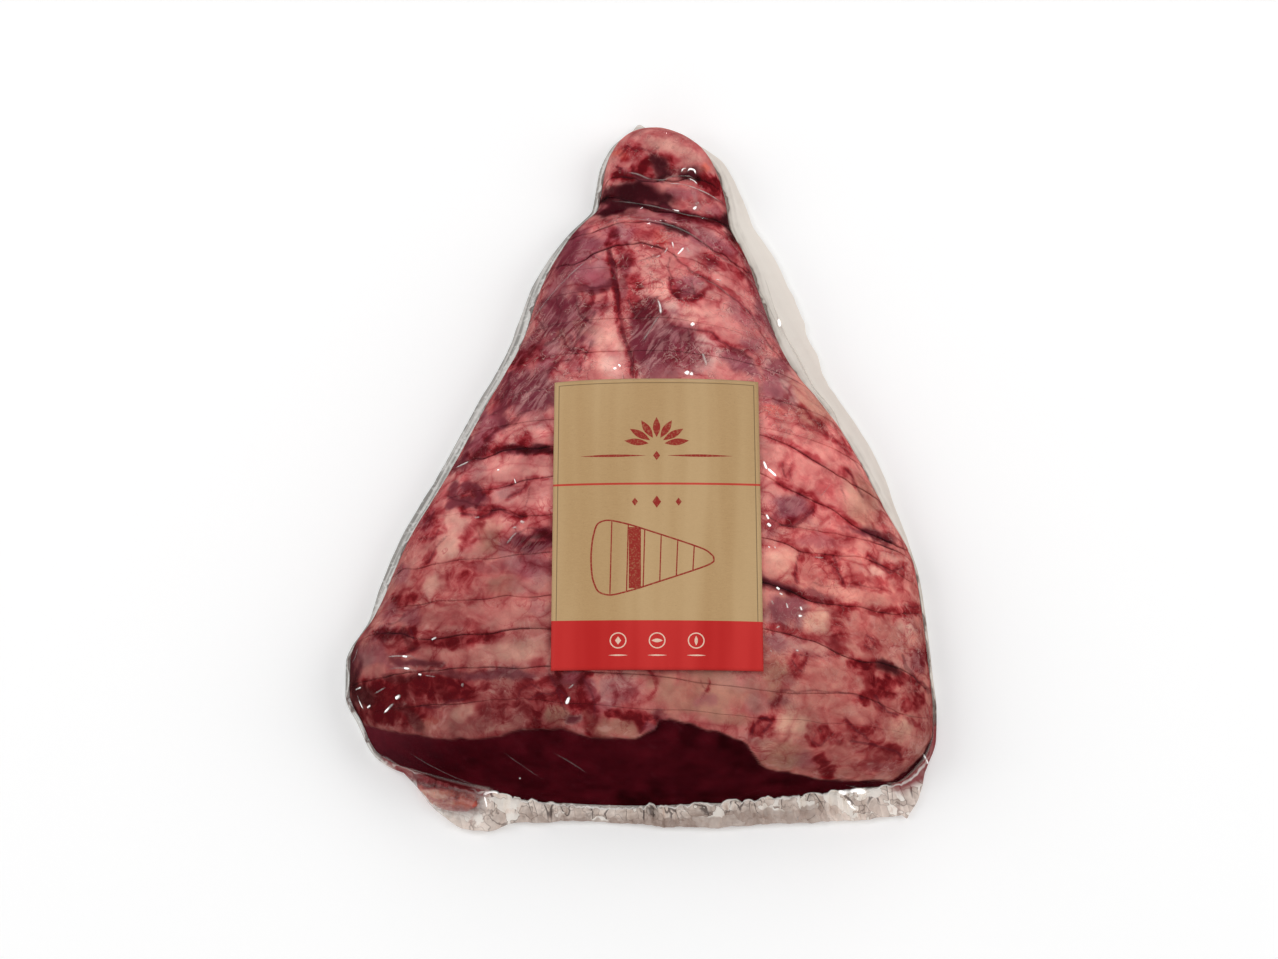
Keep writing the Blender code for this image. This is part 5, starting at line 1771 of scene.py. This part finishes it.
# %% [markdown]
# ## Folds that glint
# Where the tight film has a little too much length it stands up in thin folds, and these carry the bright lines and
# dots on the film. Each fold is a low ridge along a run of pixels. A ray from the camera finds where it lies on
# the film. A bump in the film's shader would be simpler, but a ridge is in the mesh. Its brightness is painted:
# the core of a bright fold is coloured white and glows, a painted glint, and a dark fold is a painted shadow line.

# %% Places on the film by pixel
CAMERA_RIGHT = np.array((1, 0, 0))
CAMERA_UP = np.array((0, math.sin(ELEVATION), math.cos(ELEVATION)))
CAMERA_BACK = np.array((0, -math.cos(ELEVATION), math.sin(ELEVATION)))
CAMERA_AT = np.array(AIM) + CAMERA_BACK * DISTANCE


def on_film(u, v):
    """The point of the film that shows at a pixel, in millimetres, and the film's normal there."""
    x = (u - PHOTO_WIDE / 2) * MM_PER_PIXEL / DISTANCE
    y = (PHOTO_TALL / 2 - v) * MM_PER_PIXEL / DISTANCE
    way = x * CAMERA_RIGHT + y * CAMERA_UP - CAMERA_BACK
    hit, place, normal, _ = film.ray_cast(((CAMERA_AT + (*SHIFT, 0)) * MM).tolist(), way.tolist())
    return (np.array(place) / MM - (*SHIFT, 0), np.array(normal)) if hit else None


FOLD_STEP = 1.3  # pixels
FOLD_COLUMNS = np.linspace(-1, 1, 7)
FOLD_HEIGHT = 0.6


def fold_rows(half_width, points):
    """Rows of points across one fold, which is thin at both ends, and how strongly its painted glint shows at each
    point.
    """
    points = np.array(points, float)
    run = np.concatenate(([0], np.cumsum(np.linalg.norm(np.diff(points, axis=0), axis=1))))
    at = np.linspace(0, run[-1], max(6, round(run[-1] / FOLD_STEP)))
    path = np.stack([curve(np.stack((run, points[:, c]), axis=1), at) for c in (0, 1)], axis=1)
    found = [on_film(u, v) for u, v in path]
    share = at / run[-1]
    kept = [n for n, place in enumerate(found) if place]
    if len(kept) < 4:
        return None
    place = np.array([found[n][0] for n in kept])
    normal = np.array([found[n][1] for n in kept])
    taper = np.clip(np.sin(np.pi * share[kept]) * 1.6, 0.05, 1)
    taper = taper * (1 + 0.35 * cloud(place, 6, 260, 2)).clip(0.3, 1.4)
    side = np.cross(normal, np.gradient(place, axis=0))
    side = side / np.linalg.norm(side, axis=1, keepdims=True)
    rise = (1 - FOLD_COLUMNS**2) ** 1.5
    height = FOLD_HEIGHT * half_width
    rows = (
        place[:, None, :] + side[:, None, :] * (half_width * taper[:, None] * FOLD_COLUMNS)[:, :, None]
        + normal[:, None, :] * (height * taper[:, None] * rise - 0.04)[:, :, None]
    )
    shine = np.clip(taper * (1 + 0.5 * cloud(place, 2.5, 270, 2)), 0, 1)[:, None] * (1 - FOLD_COLUMNS**2) ** 0.7
    return rows, shine


FOLDS = (
    # how strongly its painted glint shows, or less than 0 for a dark one painted as a shadow line, half width, then the
    # pixels that the fold runs through
    (0.45, 0.4, (520, 348), (530, 325), (545, 303), (562, 283), (580, 266), (602, 250)),
    (0.5, 0.35, (620, 171), (637, 174), (650, 179), (662, 180), (675, 176), (688, 176), (700, 184)),
    (0.6, 0.35, (662, 183), (680, 184), (702, 191), (726, 205)),
    (1, 0.45, (681, 173), (683, 169), (687, 168)),
    (1, 0.5, (687, 172), (690, 169), (694, 170), (696, 175)),
    (0.8, 0.4, (688, 178), (694, 181), (698, 185)),
    (0.4, 0.35, (604, 200), (625, 202), (647, 205), (669, 210), (687, 215), (700, 217), (716, 222)),
    (0.9, 0.45, (673, 210), (680, 211)),
    (1, 0.7, (699, 202), (695, 205)),
    (1, 0.7, (697, 206), (693, 210)),
    (0.4, 0.35, (590, 236), (600, 229), (612, 221), (631, 219), (653, 221), (675, 227), (694, 236), (706, 245), (719, 257)),
    (0.8, 0.5, (672, 241), (674, 250)),
    (0.9, 0.5, (668, 247), (664, 254)),
    (0.8, 0.5, (655, 258), (661, 255)),
    (0.9, 0.5, (677, 255), (681, 251), (684, 247)),
    (0.5, 0.5, (686, 247), (690, 253)),
    (0.7, 0.5, (715, 279), (722, 281)),
    (0.3, 0.35, (678, 262), (694, 274), (719, 287), (737, 304), (753, 323), (766, 345), (772, 357)),
    (0.3, 0.35, (700, 240), (722, 258), (743, 272), (760, 292), (775, 320), (786, 345)),
    (0.9, 0.6, (657, 298), (660, 306), (661, 315)),
    (0.45, 0.35, (640, 346), (648, 333), (656, 320), (661, 313)),
    (1, 1.0, (691, 323), (694, 326)),
    (1, 1.3, (685, 375), (689, 371)),
    (1, 0.9, (691, 376), (692, 372)),
    (1, 0.6, (613, 369), (617, 368)),
    (1, 0.5, (618, 364), (621, 367)),
    (0.6, 0.5, (702, 352), (707, 366)),
    (0.7, 0.45, (455, 468), (462, 465), (470, 461)),
    (0.9, 0.5, (497, 470), (500, 470)),
    (0.8, 0.4, (514, 478), (516, 484)),
    (0.5, 0.5, (506, 545), (512, 537), (518, 531)),
    (0.8, 0.8, (520, 521), (525, 523)),
    (0.7, 0.6, (512, 528), (517, 527)),
    (0.7, 0.45, (474, 518), (480, 517)),
    (0.9, 0.45, (431, 640), (437, 637)),
    (0.5, 0.4, (386, 657), (398, 656), (410, 656), (418, 661)),
    (1, 0.5, (402, 656), (408, 657)),
    (1, 0.5, (403, 668), (411, 669)),
    (0.9, 0.5, (418, 674), (422, 675)),
    (0.6, 0.35, (424, 675), (436, 677)),
    (0.35, 0.35, (384, 670), (400, 668), (420, 671)),
    (0.8, 0.45, (355, 690), (362, 687)),
    (0.9, 0.5, (357, 694), (360, 702), (364, 710)),
    (1, 0.9, (395, 699), (401, 695)),
    (1, 0.55, (383, 714), (388, 709), (394, 703)),
    (0.9, 0.5, (367, 708), (371, 705)),
    (0.5, 0.35, (374, 694), (386, 687)),
    (0.35, 0.35, (352, 664), (356, 655), (358, 646)),
    (1, 0.8, (566, 705), (568, 700), (570, 696)),
    (0.7, 0.4, (568, 689), (574, 684)),
    (0.25, 0.35, (405, 750), (430, 765), (450, 775), (480, 787)),
    (0.25, 0.3, (500, 750), (520, 764), (545, 781)),
    (0.25, 0.3, (552, 752), (575, 765), (590, 776)),
    (0.8, 0.6, (519, 778), (521, 778)),
    (0.5, 0.7, (461, 685), (464, 685)),
    (1, 0.6, (763, 460), (767, 470)),
    (1, 0.6, (767, 468), (777, 477)),
    (1, 0.5, (766, 514), (769, 520)),
    (1, 0.7, (767, 523), (771, 527)),
    (0.25, 0.35, (820, 497), (826, 490), (832, 482)),
    (1, 0.5, (776, 587), (780, 590)),
    (1, 0.5, (779, 593), (783, 595)),
    (0.8, 0.4, (786, 602), (788, 609)),
    (0.7, 0.4, (771, 600), (774, 605)),
    (1, 0.7, (800, 606), (802, 611)),
    (1, 0.7, (798, 616), (803, 616)),
    (0.9, 0.5, (768, 546), (770, 548)),
    (0.9, 0.5, (774, 546), (776, 549)),
    (0.5, 0.4, (813, 557), (824, 558)),
    (0.7, 0.5, (795, 650), (799, 651)),
    (0.6, 0.4, (776, 628), (780, 626)),
    (0.6, 0.4, (770, 650), (772, 652)),
    (0.55, 0.4, (757, 258), (766, 282), (775, 310), (785, 335), (797, 356), (814, 388), (826, 402), (834, 413), (840, 428),
     (848, 441), (855, 455), (862, 465), (870, 480), (875, 495), (882, 505), (888, 522), (892, 536)),
    (-0.35, 0.3, (803, 370), (812, 387), (820, 400), (829, 412), (837, 430), (847, 450), (858, 468), (868, 490),
     (877, 505), (884, 530)),
    (-0.3, 0.3, (500, 405), (490, 418), (480, 428), (467, 442), (455, 462), (446, 482), (432, 505), (418, 530),
     (405, 557), (393, 582), (380, 606), (368, 630)),
    (-0.8, 0.3, (800, 802), (801, 811), (797, 819), (806, 820), (815, 815), (819, 808)),
    (1, 0.8, (778, 318), (780, 328)),
    (0.5, 0.5, (845, 785), (862, 788), (880, 787)),
    (1, 1.5, (832, 795), (845, 792), (860, 791), (872, 792)),
    (1, 1.0, (846, 799), (852, 806), (857, 811)),
    (0.8, 0.7, (922, 752), (926, 760), (929, 768)),
    (0.9, 1.0, (482, 798), (488, 792), (495, 791), (500, 795)),
    (0.9, 0.5, (484, 795), (486, 803), (487, 809)),
)
# %% The folds as one piece
fold_points, fold_faces, fold_painted_glint, fold_painted_shadow = [], [], [], []
for shines, half_width, *points in FOLDS:
    made = fold_rows(half_width, points)
    if made is None:
        continue
    rows, shine = made
    fold_painted_glint.append((abs(shines) * shine).ravel())
    fold_painted_shadow.append(np.full(shine.size, float(shines < 0)))
    start, wide = sum(len(p) for p in fold_points), len(FOLD_COLUMNS)
    fold_points.append(rows.reshape(-1, 3))
    fold_faces += [
        (start + r * wide + c, start + r * wide + c + 1, start + (r + 1) * wide + c + 1, start + (r + 1) * wide + c)
        for r in range(len(rows) - 1) for c in range(wide - 1)
    ]
fold_points = np.concatenate(fold_points)
fold_mesh = bpy.data.meshes.new("film_folds")
fold_mesh.from_pydata(fold_points.tolist(), [], fold_faces)
folds = bpy.data.objects.new("film_folds", fold_mesh)
bpy.context.scene.collection.objects.link(folds)
write_points(folds, fold_points)
# the painted glint of each point, and then the painted shadow of dark folds
store(folds, "fold", np.concatenate(fold_painted_glint))
store(folds, "dim", np.concatenate(fold_painted_shadow))
store(folds, "edge", np.full(len(fold_points), -20.0))
fold_mesh.materials.append(film_look_material)
fold_mesh.shade_smooth()
print(len(FOLDS), "folds with", len(fold_faces), "faces")

# %% [markdown]
# ## The paper label
# The label is kraft paper that follows the crown of the pack. A grid at its real size is laid on the form and given
# the thickness of paper. It is made finer than the solid, so that its edges and its slight waves are smooth.

# %% Paper sheet
LABEL_LIFT = 0.15
PAPER = 0.25
LABEL_COLUMNS, LABEL_ROWS = 58, 88


def crown_height(x, y):
    """Height of the smooth form over points of the plan."""
    along = SECTIONS[0, 1] - y
    for _ in range(14):
        crown_y, crown_z, left_x, left_y, right_x, right_y = (curve(SECTIONS, along, c) for c in range(1, 7))
        middle = (left_x + right_x) / 2
        left = x < middle
        end_x = np.where(left, left_x, right_x)
        end_y = np.where(left, left_y, right_y)
        out = np.clip((x - middle) / (end_x - middle), 0, 1)
        along = along + crown_y + (end_y - crown_y) * out ** np.where(left, LEFT_BEND, RIGHT_BEND) - y
    return FOOT_Z + (crown_z - FOOT_Z) * (1 - out**SHOULDER) ** (1 / SHOULDER)


def paper_height(x, y):
    """Height of the label's underside over points of the plan."""
    flat = np.stack((x, y, y * 0), axis=1)
    return crown_height(x, y) + LABEL_LIFT + 0.12 + 0.12 * cloud(flat, 24, 300, 1)


left, right, foot, top = LABEL_BOX
paper = bent_grid("paper_label", LABEL_COLUMNS, LABEL_ROWS)
spread = np.empty(len(paper.data.vertices) * 3)
paper.data.vertices.foreach_get("co", spread)
spread = spread.reshape(-1, 3)
paper_x = left + (spread[:, 0] + 1) / 2 * (right - left)
paper_y = foot + (spread[:, 1] + 1) / 2 * (top - foot)
write_points(paper, np.stack((paper_x, paper_y, paper_height(paper_x, paper_y)), axis=1))
sheet = paper.modifiers.new("paper", "SOLIDIFY")
sheet.thickness = PAPER * MM
sheet.offset = 1
clear_selection()
bpy.context.view_layer.objects.active = paper
bpy.ops.object.modifier_apply(modifier="paper")
paper.data.shade_smooth()
bpy.context.view_layer.objects.active = paper
print("label", right - left, "by", top - foot, "mm")

# %% [markdown]
# ## Kraft paper and its printing
# Kraft paper is brown with short fibres and a slight sheen. Soft lighter streaks over the paper and its red ink are
# painted sheen. A red band, a red rule and a thin frame line are printed on it. They are fields in the label's own
# millimetres, worked out in the shader, so their edges are crisp at any size.

# %% Kraft material
kraft, make = new_material("printed kraft paper")
place = make.node("ShaderNodeTexCoord", output=3)
centred = make.node("ShaderNodeMapping", {}, {
    "Vector": place, "Location": (-(left + right) / 2 - SHIFT[0], -foot - SHIFT[1], 0), "Scale": (1000, 1000, 1000),
})
apart = make.node("ShaderNodeSeparateXYZ", {}, {"Vector": centred})
paper_across = apart
paper_up = apart.part(1)
BAND_TOP = 18.6
RULE_AT = 72.2
HALF_WIDE, TALL = (right - left) / 2, top - foot
FRAME_INSET = 1.7

fibre_squeeze = make.node("ShaderNodeMapping", {}, {"Vector": place, "Scale": (700, 2600, 1000)})
paper_fibres = noise_wire(1, 3, fibre_squeeze, 1.5)
flecks = noise_wire(1900, 2).step(0.62, 0.75)
sheen_streak_squeeze = make.node("ShaderNodeMapping", {}, {"Vector": place, "Scale": (75, 7, 1)})
painted_sheen_streaks = noise_wire(1, 2, sheen_streak_squeeze)
brown = (paper_fibres * 0.9).blend((*linear((172, 136, 92)), 1), (*linear((198, 164, 118)), 1))
brown = (flecks * 0.25).blend(brown, (*linear((120, 88, 55)), 1))
# Painted sheen: soft lighter streaks over the paper and its red ink.
brown = (painted_sheen_streaks.step(0.35, 0.7) * 0.35).blend(brown, (*linear((214, 184, 140)), 1))
red_ink = (painted_sheen_streaks.step(0.35, 0.7) * 0.5).blend((*linear((188, 32, 30)), 1), (*linear((216, 60, 56)), 1))
in_band = 1 - paper_up.step(BAND_TOP - 0.08, BAND_TOP + 0.08)
in_rule = 1 - abs(paper_up - RULE_AT).step(0.32, 0.5)
edge_gap = make.maths("MINIMUM", HALF_WIDE - abs(paper_across), TALL - paper_up)
in_frame = (1 - abs(edge_gap - FRAME_INSET).step(0.1, 0.22)) * (1 - in_band)
printed = (in_frame * 0.75).blend(brown, (*linear((96, 78, 52)), 1))
printed = (in_rule * 0.9).blend(printed, red_ink)
printed = in_band.blend(printed, red_ink)
paper_bump = make.node("ShaderNodeBump", {}, {"Strength": 0.15, "Distance": 0.0002, "Height": paper_fibres + flecks * 0.5})
shader = make.node("ShaderNodeBsdfPrincipled", {}, {
    "Base Color": printed, "Roughness": 0.52 - painted_sheen_streaks * 0.14, "Normal": paper_bump, "Specular IOR Level": 0.35,
})
finish_material(kraft, shader)
paper.data.materials.append(kraft)

# %% [markdown]
# ## Printed motifs
# The drawing on this label is a plain design of its own: a fan of petals over a rule, a cut shown as a rounded
# triangle in slices, and three small signs in the band. Each shape is a ribbon with a width that changes along
# its path, laid on the paper. A picture texture would be simpler, but a script of shapes can be changed.

# %% Ribbons of ink
INK = 0.03
INK_COLUMNS = 5


def ribbon(path, half_widths):
    """A strip of faces along a path of points in the label's millimetres, with a width at each point."""
    path = np.asarray(path, float)
    run = np.gradient(path, axis=0)
    closed = np.allclose(path[0], path[-1])
    if closed:
        run[0] = run[-1] = path[1] - path[-2]
    side = np.stack((-run[:, 1], run[:, 0]), axis=1)
    side = side / np.linalg.norm(side, axis=1, keepdims=True)
    spans = np.linspace(-1, 1, INK_COLUMNS)
    half = np.broadcast_to(half_widths, len(path))
    points = path[:, None, :] + side[:, None, :] * (half[:, None] * spans)[:, :, None]
    faces = [
        (r * INK_COLUMNS + c, r * INK_COLUMNS + c + 1, (r + 1) * INK_COLUMNS + c + 1, (r + 1) * INK_COLUMNS + c)
        for r in range(len(path) - 1) for c in range(INK_COLUMNS - 1)
    ]
    return points.reshape(-1, 2), faces


def between(start, end, count=16):
    """Points on a straight line."""
    return np.linspace(start, end, count)


def petal(start, end, half_width):
    """A lens shape from one point to another."""
    swell = np.sin(np.linspace(0.02, math.pi - 0.02, 16))
    return ribbon(between(start, end), half_width * swell)


def lozenge(x, y, half_width, half_height):
    """A shape with four corners, standing on one of them."""
    swell = 1 - np.abs(np.linspace(-0.98, 0.98, 17))
    return ribbon(between((x, y - half_height), (x, y + half_height), 17), half_width * swell)


def loop(x, y, radius, half_width, count=32):
    """A ring."""
    turn = np.linspace(0, 2 * math.pi, count + 1)
    return ribbon(np.stack((x + radius * np.cos(turn), y + radius * np.sin(turn)), axis=1), half_width)


def print_on_label(name, shapes, colour):
    """One piece of ink from several shapes, laid on the paper."""
    points = np.concatenate([shape[0] for shape in shapes])
    starts = np.cumsum([0] + [len(shape[0]) for shape in shapes])
    faces = [tuple(i + start for i in face) for shape, start in zip(shapes, starts) for face in shape[1]]
    x, y = left + points[:, 0], foot + points[:, 1]
    height = paper_height(x, y) + PAPER + INK
    data = bpy.data.meshes.new(name)
    data.from_pydata(np.stack((x, y, height), axis=1).tolist(), [], faces)
    piece = bpy.data.objects.new(name, data)
    bpy.context.scene.collection.objects.link(piece)
    write_points(piece, np.stack((x, y, height), axis=1))
    clear_selection()
    bpy.context.view_layer.objects.active = piece
    piece.select_set(True)
    bpy.ops.object.mode_set(mode="EDIT")
    bpy.ops.mesh.select_all(action="SELECT")
    bpy.ops.mesh.remove_doubles(threshold=0.00001)
    bpy.ops.mesh.normals_make_consistent(inside=False)
    bpy.ops.object.mode_set(mode="OBJECT")
    coat = piece.modifiers.new("ink", "SOLIDIFY")
    coat.thickness = INK * MM
    coat.offset = -1
    bpy.ops.object.modifier_apply(modifier="ink")
    ink_material, make = new_material(name + " ink")
    place = make.node("ShaderNodeTexCoord", output=3)
    worn = make.node("ShaderNodeTexNoise", {}, {"Vector": place, "Scale": 1500.0, "Detail": 2.0})
    ink_colour = (worn.step(0.45, 0.75) * 0.35).blend((*linear(colour), 1), (*linear((190, 150, 105)), 1))
    shader = make.node("ShaderNodeBsdfPrincipled", {}, {"Base Color": ink_colour, "Roughness": 0.5 + worn * 0.1})
    finish_material(ink_material, shader)
    data.materials.append(ink_material)
    return piece


# %% The motifs
CUT_TIP, CUT_BASE, CUT_HALF = (58, 42), 15, 15
cut_outline = np.array((
    (58.5, 43.5), (56, 46), (48, 49), (38, 52.5), (28, 56), (20, 58), (16, 56.5), (14.5, 50), (14, 43), (14.5, 35),
    (16.5, 29.5), (21, 28), (30, 30.5), (40, 34), (50, 37.5), (56.5, 40), (58.8, 41.5), (58.5, 43.5),
))
outline_run = np.linspace(0, 1, len(cut_outline))
fine_run = np.linspace(0, 1, 120)
cut_line = np.stack([np.interp(fine_run, outline_run, cut_outline[:, c]) for c in (0, 1)], axis=1)
for _ in range(6):
    cut_line[1:-1] = (cut_line[:-2] + 2 * cut_line[1:-1] + cut_line[2:]) / 4
upper_side, lower_side = cut_line[:60], cut_line[60:]


def cut_span(x):
    """Lower and upper edge of the drawn cut at a place along it."""
    low = np.interp(x, lower_side[:, 0], lower_side[:, 1])
    high = np.interp(x, upper_side[::-1, 0], upper_side[::-1, 1])
    return low, high


slice_lines = [ribbon(between((x, cut_span(x)[0]), (x + 0.6, cut_span(x)[1])), 0.22) for x in (21, 27, 33, 39, 45, 51)]
dark_slice = ribbon(between((30, cut_span(30)[0] + 0.4), (30, cut_span(30)[1] - 0.4), 24), 2.2)
fan = [
    petal((38 + 3 * math.cos(a), 88 + 3 * math.sin(a)), (38 + 12 * math.cos(a), 88 + 11 * math.sin(a)), 1.35)
    for a in np.radians((8, 35, 62, 90, 118, 145, 172))
]
rules = [petal((10, 83.5), (34, 83.5), 0.5), petal((42, 83.5), (66, 83.5), 0.5), lozenge(38, 83.5, 1.3, 1.8)]
row = [lozenge(x, 65, w, h) for x, w, h in ((30, 1.1, 1.6), (38, 1.6, 2.4), (46, 1.1, 1.6))]
red_print = print_on_label(
    "label_drawing", [ribbon(cut_line, 0.3), dark_slice, *slice_lines, *fan, *rules, *row], (150, 34, 26),
)
signs = [
    loop(24, 11, 2.8, 0.22), lozenge(24, 11, 1.1, 1.5), loop(38, 11, 2.8, 0.22), petal((36, 11), (40, 11), 0.7),
    loop(52, 11, 2.8, 0.22), petal((52, 9.2), (52, 12.8), 0.6),
    petal((20.5, 5.5), (27.5, 5.5), 0.28), petal((34.5, 5.5), (41.5, 5.5), 0.28), petal((48.5, 5.5), (55.5, 5.5), 0.28),
]
pale_print = print_on_label("label_signs", signs, (238, 200, 180))
print("ink pieces", red_print.name, pale_print.name)

# %% [markdown]
# ## Camera, light and floor
# The camera stands where the photograph's stood. Large soft lights give the even light of a
# product picture, and the film doesn't mirror them. A small light behind shows only as glints on the film's
# slopes, and most of the film's bright glints are painted on its folds.

# %% Camera
aim = np.array(((AIM[0] + SHIFT[0]) * MM, (AIM[1] + SHIFT[1]) * MM, AIM[2] * MM))
camera_data = bpy.data.cameras.new("photo camera")
camera = bpy.data.objects.new("photo camera", camera_data)
bpy.context.scene.collection.objects.link(camera)
back = np.array((0, -math.cos(ELEVATION), math.sin(ELEVATION))) * DISTANCE * MM
camera.location = aim + back
camera.rotation_euler = (math.pi / 2 - ELEVATION, 0, 0)
camera_data.sensor_width = 36
camera_data.lens = 36 * DISTANCE / MM_PER_PIXEL / PHOTO_WIDE
camera_data.clip_end = 20
bpy.context.scene.camera = camera
print("camera at", tuple(round(c, 3) for c in camera.location), "lens", round(camera_data.lens, 2))

# %% Lights
def studio_light(name, place, size, power):
    """A square light that faces the pack, and that the glossy film doesn't mirror."""
    data = bpy.data.lights.new(name, "AREA")
    data.size = size
    data.energy = power
    light = bpy.data.objects.new(name, data)
    bpy.context.scene.collection.objects.link(light)
    light.location = place
    x, y, z = (p - a for p, a in zip(place, aim))
    light.rotation_euler = (math.atan2(math.hypot(x, y), z), 0, math.atan2(y, x) + math.pi / 2)
    light.visible_glossy = False
    return light


def spark(name, place, size, power):
    """A small light that only shows as glints on the film."""
    light = studio_light(name, place, size, power)
    light.visible_glossy = True
    light.visible_diffuse = False
    return light


studio_light("left", (-1.3, 0.25, 1.1), 1.4, 13.5)
studio_light("right", (1.3, 0.1, 1.1), 1.4, 13.5)
studio_light("front", (-0.2, -1.3, 1.2), 1.2, 5)
studio_light("back", (0.1, 1.4, 1.1), 1.2, 5)
spark("spark behind", (0.1, 1.4, 0.35), 0.15, 2)
world = bpy.data.worlds.new("soft room")
world.use_nodes = True
world.node_tree.nodes["Background"].inputs["Color"].default_value = (1, 1, 1, 1)
world.node_tree.nodes["Background"].inputs["Strength"].default_value = 0.25
bpy.context.scene.world = world

# %% Floor
clear_selection()
bpy.ops.mesh.primitive_plane_add(size=6)
floor = bpy.context.object
floor.name = "floor"
floor.visible_glossy = False
floor_material, make = new_material("pale floor")
place = make.node("ShaderNodeTexCoord", output=3)
floor_colour = noise_wire(2, 1).blend((0.95, 0.95, 0.95, 1), (0.97, 0.97, 0.97, 1))
shader = make.node("ShaderNodeBsdfPrincipled", {}, {
    "Base Color": floor_colour, "Roughness": 0.9, "Specular IOR Level": 0.1,
    "Emission Color": (1, 1, 1, 1), "Emission Strength": 0.12,
})
finish_material(floor_material, shader)
floor.data.materials.append(floor_material)

# %% [markdown]
# ## Ties to the solids
# The film and the slices stand for the solid pouch, and the paper for the solid label. All of them ride on the one
# body.

# %% Ride, replace and finish
for piece in slices:
    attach(piece, "root")
for piece in (red_print, pale_print):
    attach(piece, "root")
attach(folds, "root")
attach(scrap, "root")
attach(film, "root")
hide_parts("pouch")
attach(paper, "root")
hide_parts("label")
